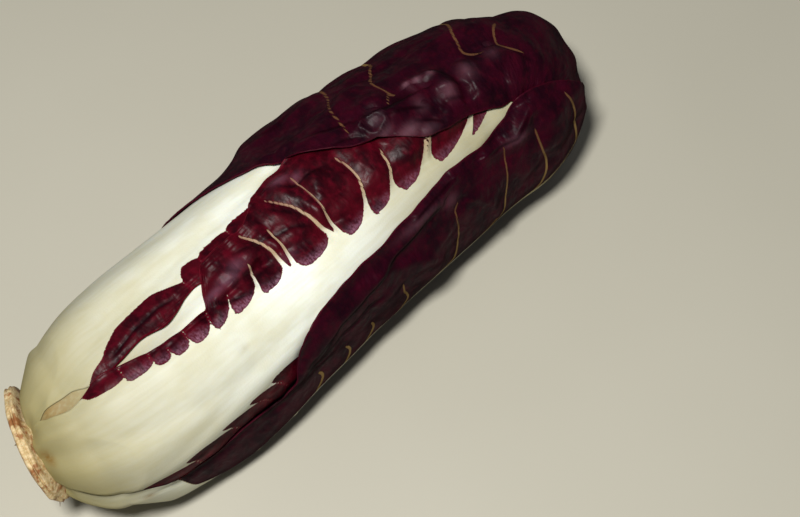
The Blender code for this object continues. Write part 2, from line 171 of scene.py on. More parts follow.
class Ripples:
    """Smooth random heights of about -1 to 1, which repeat every TILE metres."""

    TILE = 0.36
    CELLS = 360

    def __init__(self, seed, along, across):
        noise = np.random.default_rng(seed).standard_normal((self.CELLS, self.CELLS))
        waves = np.fft.fftfreq(self.CELLS, self.TILE / self.CELLS) * 2 * math.pi
        damping = np.exp(-((waves[:, None] * along) ** 2 + (waves[None, :] * across) ** 2) / 8)
        field = np.fft.ifft2(np.fft.fft2(noise) * damping).real
        self.field = field / (2 * field.std())

    def __call__(self, x, y):
        a = np.asarray(x) / self.TILE * self.CELLS
        b = np.asarray(y) / self.TILE * self.CELLS
        i = np.floor(a).astype(int)
        j = np.floor(b).astype(int)
        a = a - i
        b = b - j
        i0, i1 = i % self.CELLS, (i + 1) % self.CELLS
        j0, j1 = j % self.CELLS, (j + 1) % self.CELLS
        f = self.field
        return (1 - a) * ((1 - b) * f[i0, j0] + b * f[i0, j1]) + a * ((1 - b) * f[i1, j0] + b * f[i1, j1])


# ---------------------------------------------------------------- the head's surface


def dome_angle(s):
    """How far over the rounded end a place is: 0 along the body, a right angle at the tip."""
    return np.maximum(np.asarray(s, float) - DOME_START, 0) / DOME_RADIUS


def outline_reach(s):
    """The outline's distance from the axis, or from the dome's centre."""
    psi = dome_angle(s)
    dome = 1 / np.sqrt((np.cos(psi) / OUTLINE[-1][1]) ** 2 + (np.sin(psi) / DOME_LENGTH) ** 2)
    return np.where(psi > 0, dome, smooth_line(OUTLINE, s))


def spline_shares(t):
    """How much each of four neighbours in a row counts, at t from the second to the third of them."""
    middle = (3 * t**3 - 6 * t**2 + 4) / 6
    return (1 - t) ** 3 / 6, middle, 1 - (1 - t) ** 3 / 6 - middle - t**3 / 6, t**3 / 6


class SurfaceMap:
    """Heights on the head's surface, by place along it and angle about it."""

    def __init__(self):
        self.rows = int(round(SURFACE_LENGTH / MAP_STEP)) + 1
        self.s = np.linspace(0, SURFACE_LENGTH, self.rows)
        self.theta = np.arange(MAP_COLUMNS) * 2 * math.pi / MAP_COLUMNS
        self.grid_s, self.grid_theta = np.meshgrid(self.s, self.theta, indexing="ij")
        self.reach = outline_reach(self.s)
        self.girth = np.maximum(self.reach * np.cos(dome_angle(self.s)), LEAST_GIRTH)

    def sample(self, heights, s, theta):
        """The height between the map's places, as a cubic B-spline so that no facets show."""
        row = np.clip(np.asarray(s) / self.s[1], 0, self.rows - 1)
        column = np.asarray(theta) / (2 * math.pi) * MAP_COLUMNS
        i = np.floor(row).astype(int)
        j = np.floor(column).astype(int)
        total = 0
        for a, along in enumerate(spline_shares(row - i), -1):
            for b, around in enumerate(spline_shares(column - j), -1):
                near = heights[np.clip(i + a, 0, self.rows - 1), (j + b) % MAP_COLUMNS]
                total = total + along * around * near
        return total

    def extend(self, heights, count):
        """The heights with rows added at both ends: those past the tip come down its far side."""
        before = np.repeat(heights[:1], count, axis=0)
        after = np.roll(heights[-2 : -2 - count : -1], MAP_COLUMNS // 2, axis=1)
        return np.concatenate([before, heights, after])

    def columns_in(self, width):
        """How many columns a width covers at each row."""
        return np.minimum(width / self.girth, math.pi) / (2 * math.pi) * MAP_COLUMNS

    def smoothed(self, heights, width):
        """The heights averaged with those around them, out to about the width."""
        count = int(math.ceil(2.5 * width / MAP_STEP))
        padded = self.extend(heights, count)
        offsets = np.arange(-count, count + self.rows)[None, :] - np.arange(self.rows)[:, None]
        weights = np.exp(-((offsets * MAP_STEP / width) ** 2) / 2)
        smooth = weights @ padded / weights.sum(axis=1, keepdims=True)
        waves = np.arange(MAP_COLUMNS // 2 + 1)
        sigma = self.columns_in(width)[:, None] * 2 * math.pi / MAP_COLUMNS
        damping = np.exp(-((waves[None, :] * sigma) ** 2) / 2)
        return np.fft.irfft(np.fft.rfft(smooth, axis=1) * damping, MAP_COLUMNS, axis=1)

    def settle(self, heights, bridge):
        """The surface that a sheet takes over the heights: their peaks spread by the bridge and smoothed."""
        spread = heights.copy()
        columns = self.columns_in(bridge)
        for shift in range(1, int(columns.max()) + 1):
            wide = columns >= shift
            for turn in (shift, -shift):
                spread[wide] = np.maximum(spread[wide], np.roll(heights[wide], turn, axis=1))
        count = int(math.ceil(bridge / MAP_STEP))
        padded = self.extend(spread, count)
        for shift in range(-count, count + 1):
            spread = np.maximum(spread, padded[count + shift : count + shift + self.rows])
        return self.smoothed(spread, bridge * SMOOTHING)


# ---------------------------------------------------------------- leaves


class Veins:
    """The side veins on one side of a rib, and the coloured lobes of blade between them.

    Each vein is a line of (place, degrees) from its foot on the rib outwards. A fork is one that parts no
    lobes. Between two veins a lobe starts with a round end, nearer the vein behind it, and fills the space
    between them one cut further out. A vein's half width goes from foot, at the rib, towards end, over the
    narrowing. Past a vein's last point it fades, and the lobes beside it join.
    """

    GIRTH = 0.032
    LOBE_LEAN = 0.45
    FAR = 0.05
    FADING = 0.05
    FADES_FROM = 0.004
    FADED_WIDTH = -0.0003
    FADED_APART = 0.0015
    NARROW_LOBE = (0.005, 0.002)
    LATE_START = 0.0025
    BULGES_FROM = 0.008

    def __init__(self, veins, forks=(), cut=0.004, foot=0.0009, end=0.0003, narrowing=0.003, bulge=0.0008):
        self.lines = [self.by_angle(vein) for vein in veins]
        self.forks = [self.by_angle(fork) for fork in forks]
        first, last = self.lines[0], self.lines[-1]
        gap = self.lines[1][0][1] - first[0][1]
        self.outer = [[(angle, u - gap) for angle, u in first], [(angle, u + gap) for angle, u in last]]
        self.cut = as_line(cut)
        self.foot = as_line(foot)
        self.end = as_line(end)
        self.narrowing = narrowing
        self.bulge = bulge

    @staticmethod
    def by_angle(vein):
        """A vein's places by its angles in radians, the lowest angle first."""
        return [(math.radians(angle), u) for u, angle in sorted(vein, key=lambda place: place[1])]

    def __call__(self, u, phi, out):
        """(how far inside a lobe, how far inside a vein, how high the blade bulges), at a distance out."""
        clear = np.maximum(out, 0)
        behind = np.full(np.shape(u), self.FAR)
        ahead = np.full(np.shape(u), self.FAR)
        vein = np.full(np.shape(u), -self.FAR)
        foot, end = smooth_line(self.foot, u), smooth_line(self.end, u)
        width = end + (foot - end) * np.exp(-clear / self.narrowing)
        for line in self.lines + self.outer + self.forks:
            gap = u - smooth_line(line, phi)
            beyond = np.maximum(line[0][0] - phi, phi - line[-1][0])
            kept = np.where(out > self.FADES_FROM, 1 - ease(-self.FADING, self.FADING, beyond), 1)
            if line not in self.forks:
                apart = np.abs(gap) + self.FADED_APART * (1 - kept)
                behind = np.where(gap >= 0, np.minimum(behind, apart), behind)
                ahead = np.where(gap < 0, np.minimum(ahead, apart), ahead)
            slope = (smooth_line(line, phi + 0.01) - smooth_line(line, phi - 0.01)) / (0.02 * self.GIRTH)
            narrow = width * kept + self.FADED_WIDTH * (1 - kept)
            vein = np.maximum(vein, narrow - np.abs(gap) / np.hypot(1, slope))
        spacing = behind + ahead
        cut = smooth_line(self.cut, u)
        late = np.minimum(self.LATE_START, cut) * ease(*self.NARROW_LOBE, spacing)
        round_end = np.sqrt(1 - (1 - np.clip((clear - late) / cut, 0, 1)) ** 2)
        space = spacing / 2 * (1 - round_end)
        lobe = np.minimum(behind - (1 - self.LOBE_LEAN) * space, ahead - (1 + self.LOBE_LEAN) * space)
        share = np.clip(1 - 2 * np.minimum(behind, ahead) / spacing, 0, 1)
        bulge = self.bulge * (1 - share**2) * ease(0, self.BULGES_FROM, clear)
        return np.minimum(lobe, out - late), vein, bulge


def spaced(start, end, first, last, side):
    """Veins whose feet run from start to end, and whose spacing goes from first to last."""
    veins = []
    place = start
    while place < end:
        veins.append([(place, 5 * side), (place + 0.005, 25 * side), (place + 0.011, 75 * side)])
        place += first + (last - first) * (place - start) / (end - start)
    return veins


class Leaf:
    """One leaf's shape. Its angles are in degrees from the direction that its sheet faces.

    Its edges, the middle and half widths of its rib, and the edges of its cream-coloured part are lines of
    degrees. Its end is how many degrees it reaches over the rounded tip. The khaki that its cream takes is
    partly the rib's own colour and partly painted shade. Brown spots, partly painted shade on the inner
    leaves, and spots of pale flap and painted highlight are soft spots of (place, degrees, length, width,
    strength). Creases are (line, width, strength), whose strength sets both their painted shade and their
    depth, and folds are (line, height, width on the line's left, width on its right). A stiff leaf smooths
    out what it lies on, over that width, and a feathered one thins towards its edges, over that width.
    """

    BLADE_THICKNESS = 0.0006
    TIP_WIDTH_SHARE = 0.10
    EDGE_WAVE = 0.0007
    LOOSE_EDGE = (0.030, 0.060)
    FEATHERED = (0.030, 0.050)
    FEATHERED_AWAY = 0.85
    WANDER, WIDE_WANDER = 0.0003, 0.0005
    CREASE_DEPTH = 0.0006
    CREASE_ENDS = (-0.001, 0.004)
    RIPPLES_FROM = 0.010
    LIFT_WIDTH = 0.002

    def __init__(
        self, order, node, facing, end, dark=False, rib=0.0, left=None, right=None, rib_width=RIB_HALF_ANGLE,
        rib_width_right=None, rib_scale=None, rib_flatness=4, cream_left=None, cream_right=None,
        veins_left=None, veins_right=None, tint_and_shade=None, bloom=0.3, bloom_right=None, stains=(), sheens=(),
        creases=(), folds=(), looseness=1.0, lift=0.0006, ripple=0.0003, feather=0.0, stiff=0.0,
        fineness=COARSE,
    ):
        self.order, self.node, self.dark = order, node, dark
        self.facing = math.radians(facing)
        inner = max(order - LOOSE_FROM, 0)
        self.start = BASE_CLEARANCE + OUTER_BASE_STEP * (order - inner) + INNER_BASE_STEP * inner
        self.end = DOME_START + DOME_RADIUS * math.radians(end)
        self.rib = as_line(rib)
        middle = self.rib[0][1]
        self.left = left or [(u, middle - half) for u, half in HALF_ANGLE]
        self.right = right or [(u, middle + half) for u, half in HALF_ANGLE]
        self.rib_width, self.rib_width_right = rib_width, rib_width_right or rib_width
        self.rib_scale = as_line(rib_scale or 1 - (1 - INNER_RIB_SHARE) * order / (LEAF_COUNT - 1))
        self.rib_flatness = rib_flatness
        self.cream_left = cream_left or [(u, middle - 1.1 * half) for u, half in rib_width]
        self.cream_right = cream_right or [(u, middle + 1.1 * half) for u, half in rib_width]
        first = 0.040 + 0.002 * (order % 4)
        self.veins_left = veins_left or Veins(spaced(first, 0.220, 0.008, 0.011, -1))
        self.veins_right = veins_right or Veins(spaced(first, 0.220, 0.008, 0.011, 1))
        # How far the cream darkens to khaki: partly the rib's own colour and partly painted shade.
        self.tint_and_shade = tint_and_shade or [(0.0, 1.0), (0.030, 0.7), (0.080, 0.0), (LONGEST, 0.0)]
        self.bloom = as_line(bloom)
        self.bloom_right = self.bloom if bloom_right is None else as_line(bloom_right)
        self.stains, self.sheens, self.creases, self.folds = stains, sheens, creases, folds
        self.looseness = as_line(looseness)
        self.lift, self.ripple, self.feather, self.stiff = lift, ripple, feather, stiff
        self.fineness = fineness
        self.ripples = Ripples(100 + order, 0.014, 0.007)
        self.fine_ripples = Ripples(200 + order, 0.005, 0.003)

    def girth_at(self, u):
        """The radius that turns the leaf's angles into widths."""
        return smooth_line(OUTLINE, u)

    def rib_at(self, u):
        """The angle of the rib's middle."""
        return np.radians(smooth_line(self.rib, u))

    def margins_at(self, u):
        """The angles of the leaf's two edges. Towards its tip they close in on each other."""
        left = np.radians(smooth_line(self.left, u))
        right = np.radians(smooth_line(self.right, u))
        u = np.asarray(u, float)
        wavy = self.EDGE_WAVE * ease(*self.LOOSE_EDGE, u) / self.girth_at(u)
        left = left + wavy * (self.fine_ripples(u, 0.01) + 0.6 * self.ripples(u, 0.05))
        right = right + wavy * (self.fine_ripples(u, 0.11) + 0.6 * self.ripples(u, 0.15))
        over = np.clip((u - (self.end - TIP_TAPER)) / TIP_TAPER, 0, 1)
        width = np.maximum(np.sqrt(1 - over**2), self.TIP_WIDTH_SHARE)
        middle = (left + right) / 2
        return middle + (left - middle) * width, middle + (right - middle) * width

    def inside_at(self, u, phi):
        """How far inside the leaf's nearer edge a place is."""
        left, right = self.margins_at(u)
        return np.minimum(phi - left, right - phi) * self.girth_at(u)

    def thickness_at(self, u, phi):
        """The thin blade with the rib's rise over it. A feathered edge is thinner near the base."""
        away = phi - self.rib_at(u)
        left, right = smooth_line(self.rib_width, u), smooth_line(self.rib_width_right, u)
        across = np.minimum(np.abs(away) / np.radians(np.where(away < 0, left, right)), 1)
        rib = smooth_line(RIB_THICKNESS, u) * smooth_line(self.rib_scale, u)
        profile = (1 - across**self.rib_flatness) ** 2
        thickness = self.BLADE_THICKNESS + np.maximum(rib - self.BLADE_THICKNESS, 0) * profile
        if not self.feather:
            return thickness
        thin = (1 - ease(0, self.feather, self.inside_at(u, phi))) * (1 - ease(*self.FEATHERED, u))
        return thickness * (1 - self.FEATHERED_AWAY * thin)

    def marks(self, u, phi):
        """(how far inside a lobe, how far inside a vein, the blade's bulge, distance out from the rib)."""
        girth = self.girth_at(u)
        y = phi * girth
        wander = self.WANDER * self.fine_ripples(u, y) + self.WIDE_WANDER * self.ripples(u, y)
        out_left = (np.radians(smooth_line(self.cream_left, u)) - phi) * girth
        out_right = (phi - np.radians(smooth_line(self.cream_right, u))) * girth
        on_left = phi < self.rib_at(u)
        left = self.veins_left(u + wander, phi, out_left)
        right = self.veins_right(u + wander, phi, out_right)
        lobe, vein, bulge = (np.where(on_left, a, b) for a, b in zip(left, right))
        return lobe, vein, bulge, np.where(on_left, out_left, out_right)

    def distance_to(self, points, u, phi):
        """How far away a line of (place, degrees) is, and whether the place is on its left as it runs."""
        girth = self.girth_at(u)
        away = np.full(np.shape(u), 1.0)
        on_left = np.zeros(np.shape(u), bool)
        ends = [(a, math.radians(b)) for a, b in points]
        for (u0, p0), (u1, p1) in zip(ends[:-1], ends[1:]):
            x0, y0 = u - u0, (phi - p0) * girth
            dx, dy = u1 - u0, (p1 - p0) * girth
            t = np.clip((x0 * dx + y0 * dy) / (dx**2 + dy**2), 0, 1)
            distance = np.hypot(x0 - t * dx, y0 - t * dy)
            on_left = np.where(distance < away, dx * y0 < dy * x0, on_left)
            away = np.minimum(away, distance)
        return away, on_left

    def spotted(self, spots, u, phi):
        """How strongly soft spots of (place, degrees, length, width, strength) cover the leaf."""
        cover = np.zeros(np.shape(u))
        for place, angle, length, width, strength in spots:
            aside = (phi - math.radians(angle)) * self.girth_at(u)
            away = ((u - place) / length) ** 2 + (aside / width) ** 2
            cover = np.maximum(cover, strength * np.exp(-away))
        return cover

    def creased(self, u, phi):
        """How dark the painted shade along the creases is, which also sets how deep they sink. Each line is
        thin and fades towards its two ends.
        """
        dark = np.zeros(np.shape(u))
        for points, width, strength in self.creases:
            away, on_left = self.distance_to(points, u, phi)
            places = [place for place, angle in points]
            ends = np.minimum(u - min(places), max(places) - u)
            dark = np.maximum(dark, strength * np.exp(-((away / width) ** 2)) * ease(*self.CREASE_ENDS, ends))
        return dark

    def relief(self, u, phi):
        """How far the sheet stands off what it lies on: bulges, folds, ripples and lifted edges."""
        y = phi * self.girth_at(u)
        lobe, vein, lift, out = self.marks(u, phi)
        lift = lift - self.CREASE_DEPTH * self.creased(u, phi)
        ripples = self.ripples(u, y) + 0.5 * self.fine_ripples(u, y)
        lift = lift + self.ripple * ease(0, self.RIPPLES_FROM, out) * ripples
        for points, height, width, other_width in self.folds:
            away, on_left = self.distance_to(points, u, phi)
            lift = lift + height * np.exp(-((away / np.where(on_left, width, other_width)) ** 2))
        lift = lift * smooth_line(self.looseness, u)
        wave = 0.6 + 0.7 * self.ripples(u, 0.2 + phi)
        near_edge = np.exp(-np.maximum(self.inside_at(u, phi), 0) / self.LIFT_WIDTH)
        return lift + self.lift * wave * near_edge * ease(*self.LOOSE_EDGE, u)

    def to_map(self, u, phi):
        """The head's place and angle for the sheet's own."""
        psi = dome_angle(u)
        forward = np.cos(phi) * np.sin(psi)
        over = psi > 0
        s = np.where(over, DOME_START + DOME_RADIUS * np.arcsin(np.clip(forward, -1, 1)), u)
        theta = np.where(over, np.arctan2(np.sin(phi), np.cos(phi) * np.cos(psi)), phi)
        return s, theta + self.facing

    def from_map(self, s, theta):
        """The sheet's own place and angle for the head's."""
        psi = dome_angle(s)
        turn = half_turn(theta - self.facing)
        over = psi > 0
        up = np.cos(psi) * np.cos(turn)
        u = np.where(over, DOME_START + DOME_RADIUS * np.arctan2(np.sin(psi), up), s)
        phi = np.where(over, np.arcsin(np.clip(np.cos(psi) * np.sin(turn), -1, 1)), turn)
        return u, phi


def front_wrapper():
    """The dark leaf round the front: its rib runs low, and its blade goes over the tip."""
    return Leaf(
        0,
        "leaf_01_front_wrapper",
        facing=71.5,
        end=60,
        dark=True,
        rib=[
            (0.0, 44), (0.03, 54), (0.045, 54), (0.06, 47), (0.08, 39), (0.15, 36.5), (0.171, 35),
            (0.182, 31), (0.19, 26), (0.2, 17), (0.24, 0),
        ],
        left=[
            (0.0, 8), (0.01, 10), (0.019, 13), (0.031, 22), (0.042, 21), (0.05, 18), (0.06, 17),
            (0.068, 13), (0.074, -8), (0.085, -19), (0.099, -23.5), (0.118, -25), (0.137, -28),
            (0.154, -29), (0.173, -33), (0.182, -41), (0.19, -44), (0.24, -50),
        ],
        right=[(0.0, 66), (0.05, 72), (0.15, 78), (0.24, 78)],
        rib_width=[(0.0, 34), (0.025, 30), (0.04, 26), (0.06, 24), (0.1, 24), (0.15, 22), (0.24, 12)],
        rib_scale=[
            (0.0, 0.8), (0.03, 0.9), (0.05, 0.9), (0.08, 0.75), (0.12, 0.9), (0.18, 1.2), (0.24, 1.0),
        ],
        rib_flatness=2,
        cream_left=[
            (0.0, 0), (0.018, 5), (0.024, 14), (0.028, 28), (0.032, 42), (0.045, 52), (0.06, 46),
            (0.08, 38.4), (0.11, 36.8), (0.135, 35), (0.15, 34.8), (0.171, 33.8), (0.182, 30.2),
            (0.19, 25.7), (0.2, 16.7), (0.24, -0.3),
        ],
        cream_right=[
            (0.0, 66), (0.03, 60), (0.045, 57), (0.06, 52), (0.08, 45), (0.15, 42), (0.171, 40),
            (0.182, 35), (0.19, 27), (0.2, 17.3), (0.24, 0.3),
        ],
        veins_left=Veins(
            [
                [(0.088, 38), (0.0905, 28), (0.089, 22)],
                [(0.097, 37), (0.101, 27), (0.1005, 21)],
                [(0.112, 36), (0.116, 28), (0.1145, 14), (0.114, 8)],
                [(0.131, 35), (0.138, 30), (0.1405, 10), (0.141, -6), (0.144, -11)],
                [(0.15, 35), (0.156, 32), (0.163, 25), (0.165, 10), (0.167, -5), (0.168, -22)],
                [(0.178, 33), (0.182, 26), (0.184, 13), (0.1825, -5), (0.182, -20)],
                [(0.199, 14), (0.198, -13), (0.197, -24)],
            ],
            cut=0.0003,
            foot=0.0006,
            end=0.00034,
            narrowing=0.01,
            bulge=0.0009,
        ),
        veins_right=Veins(spaced(0.05, 0.215, 0.014, 0.018, 1), cut=0.0003, foot=0.0006, end=0.0003),
        # The cream darkens again towards the tip: painted shade.
        tint_and_shade=[(0.0, 1.0), (0.015, 0.7), (0.03, 0.4), (0.08, 0.5), (0.12, 0.6), (0.17, 0.8), (0.24, 1.0)],
        bloom=0.0,
        stains=[(0.019, 22, 0.0016, 0.0012, 0.45)],
        sheens=[
            (0.173, -21, 0.005, 0.0012, 0.5), (0.128, -19, 0.009, 0.0015, 0.35),
            (0.141, -15, 0.003, 0.002, 0.3),
        ],
        creases=[
            ([(0.137, -17), (0.111, -10), (0.088, -1.5), (0.072, 9)], 0.0009, 0.95),
            ([(0.106, 2), (0.086, 9), (0.066, 16.5), (0.056, 18)], 0.0008, 0.9),
            ([(0.086, 17), (0.07, 21), (0.05, 22), (0.036, 21)], 0.0007, 0.8),
            ([(0.182, -31), (0.174, -21), (0.16, -22)], 0.0007, 0.7),
            ([(0.146, -25), (0.14, -23.5), (0.124, -21)], 0.0007, 0.8),
        ],
        folds=[
            ([(0.137, -18), (0.111, -11), (0.088, -3), (0.069, 14)], 0.001, 0.0012, 0.003),
            ([(0.127, -22), (0.14, -23.5), (0.145, -25)], 0.0014, 0.001, 0.002),
            ([(0.16, -23), (0.174, -21), (0.182, -32)], 0.0016, 0.0016, 0.003),
            ([(0.1, -14), (0.122, 0), (0.13, 12)], 0.001, 0.0014, 0.004),
            ([(0.148, -8), (0.156, 6), (0.158, 20)], 0.001, 0.004, 0.0016),
        ],
        looseness=[(0.0, 0.1), (0.06, 0.3), (0.1, 0.8), (0.13, 1.0), (0.24, 1.0)],
        lift=0.0003,
        ripple=0.0007,
        feather=0.009,
        stiff=0.004,
        fineness=FINEST,
    )


def back_wrapper():
    """The dark crumpled leaf round the back, whose blade comes over the top of the tip."""
    return Leaf(
        1,
        "leaf_02_back_wrapper",
        facing=-38.5,
        end=108,
        dark=True,
        rib=[
            (0.0, -72), (0.02, -80), (0.04, -86), (0.06, -78), (0.085, -64), (0.11, -56), (0.13, -54),
            (0.24, -54),
        ],
        left=[(0.0, -110), (0.03, -120), (0.1, -120), (0.15, -104), (0.176, -84), (0.24, -80)],
        right=[
            (0.0, -60), (0.04, -72), (0.056, -62), (0.073, -36), (0.085, -18), (0.094, -5), (0.101, 3),
            (0.107, 10), (0.112, 22), (0.118, 32), (0.125, 40), (0.134, 46.5), (0.148, 61), (0.162, 64.5),
            (0.17, 67), (0.186, 72), (0.24, 72),
        ],
        rib_width=[(0.0, 24), (0.025, 22), (0.05, 16), (0.08, 9), (0.12, 5), (0.24, 3)],
        cream_left=[
            (0.0, -110), (0.03, -112), (0.055, -98), (0.085, -70), (0.11, -60), (0.13, -57), (0.24, -56),
        ],
        cream_right=[
            (0.0, -40), (0.035, -56), (0.055, -70), (0.085, -61), (0.11, -54), (0.13, -52.5), (0.24, -53),
        ],
        veins_left=Veins(spaced(0.06, 0.215, 0.014, 0.018, -1), cut=0.0003, foot=0.0006, end=0.0003),
        veins_right=Veins(
            [
                [(0.075, -60), (0.079, -40)],
                [(0.136, -52), (0.139, -25), (0.137, -5), (0.13, 19), (0.128, 35)],
                [(0.155, -52), (0.157, -35), (0.154, -5), (0.146, 18), (0.1463, 29), (0.15, 40)],
                [(0.182, -52), (0.182, -14), (0.1755, 20), (0.1735, 32), (0.1765, 37.5), (0.18, 39)],
                [(0.19, 20), (0.186, 33), (0.1855, 37), (0.195, 46)],
            ],
            forks=[[(0.1463, 29), (0.1425, 38)]],
            cut=0.0003,
            foot=0.0007,
            end=0.00034,
            narrowing=0.03,
            bulge=0.0009,
        ),
        bloom=0.0,
        sheens=[
            (0.135, 46, 0.003, 0.0014, 0.5), (0.1415, 53, 0.004, 0.0016, 0.6),
            (0.147, 58, 0.003, 0.0018, 0.5), (0.152, 32.5, 0.0012, 0.0008, 0.8),
            (0.1555, 34, 0.0014, 0.0009, 0.8), (0.16, 36, 0.0016, 0.0008, 0.7),
            (0.16, 49, 0.0022, 0.0022, 0.45), (0.17, 45, 0.0024, 0.0026, 0.4),
            (0.136, 39.5, 0.0022, 0.002, 0.4), (0.15, 47, 0.002, 0.002, 0.35),
            (0.181, 42, 0.003, 0.002, 0.2),
        ],
        creases=[
            ([(0.1335, 34), (0.1365, 36), (0.1425, 39), (0.15, 40), (0.154, 40)], 0.0008, 1.0),
            ([(0.138, 41), (0.141, 42.5), (0.147, 46), (0.152, 50)], 0.0007, 0.9),
            (
                [(0.131, 37), (0.134, 35), (0.139, 39), (0.1375, 43.5), (0.133, 45.5), (0.131, 44)],
                0.0007, 0.7,
            ),
            ([(0.145, 51), (0.15, 55), (0.154, 62)], 0.0006, 0.8),
            ([(0.161, 37), (0.164, 44), (0.165, 50)], 0.0007, 0.7),
            ([(0.118, 18), (0.126, 26), (0.133, 33)], 0.0007, 0.7),
            ([(0.108, -20), (0.12, -12), (0.13, -12)], 0.0008, 0.6),
            ([(0.186, 39), (0.193, 47), (0.199, 50)], 0.0006, 0.5),
            ([(0.153, 55), (0.158, 52), (0.165, 56)], 0.0006, 0.6),
            ([(0.12, 34), (0.126, 36), (0.131, 41)], 0.0006, 0.7),
        ],
        folds=[
            ([(0.112, -30), (0.132, -24)], 0.003, 0.009, 0.009),
            ([(0.1365, 36), (0.1425, 39), (0.15, 40)], 0.0022, 0.0008, 0.004),
            ([(0.141, 42.5), (0.147, 46), (0.152, 50)], 0.0014, 0.001, 0.0016),
            (
                [(0.131, 36), (0.134, 34), (0.139, 38), (0.1375, 43), (0.133, 45), (0.131, 36)],
                0.0014, 0.0009, 0.0009,
            ),
            ([(0.15, 40), (0.158, 44), (0.166, 50)], 0.001, 0.001, 0.002),
            ([(0.161, 36), (0.164, 44), (0.163, 54)], 0.0014, 0.001, 0.003),
            ([(0.152, 32), (0.153, 32)], 0.0006, 0.0012, 0.0012),
            ([(0.1555, 33.5), (0.156, 34)], 0.0006, 0.001, 0.001),
            ([(0.1585, 35), (0.159, 35)], 0.0006, 0.001, 0.001),
            ([(0.141, 29), (0.143, 29)], 0.0018, 0.0035, 0.0035),
            ([(0.159, 50), (0.16, 48)], 0.0018, 0.0035, 0.0035),
            ([(0.169, 46), (0.171, 44)], 0.0016, 0.0035, 0.0035),
            ([(0.179, 46), (0.182, 44)], 0.0012, 0.0035, 0.0035),
        ],
        looseness=[(0.0, 0.05), (0.09, 0.1), (0.115, 1.0), (0.18, 1.0), (0.195, 0.4), (0.24, 0.3)],
        lift=0.0003,
        ripple=0.001,
        fineness=FINEST,
    )


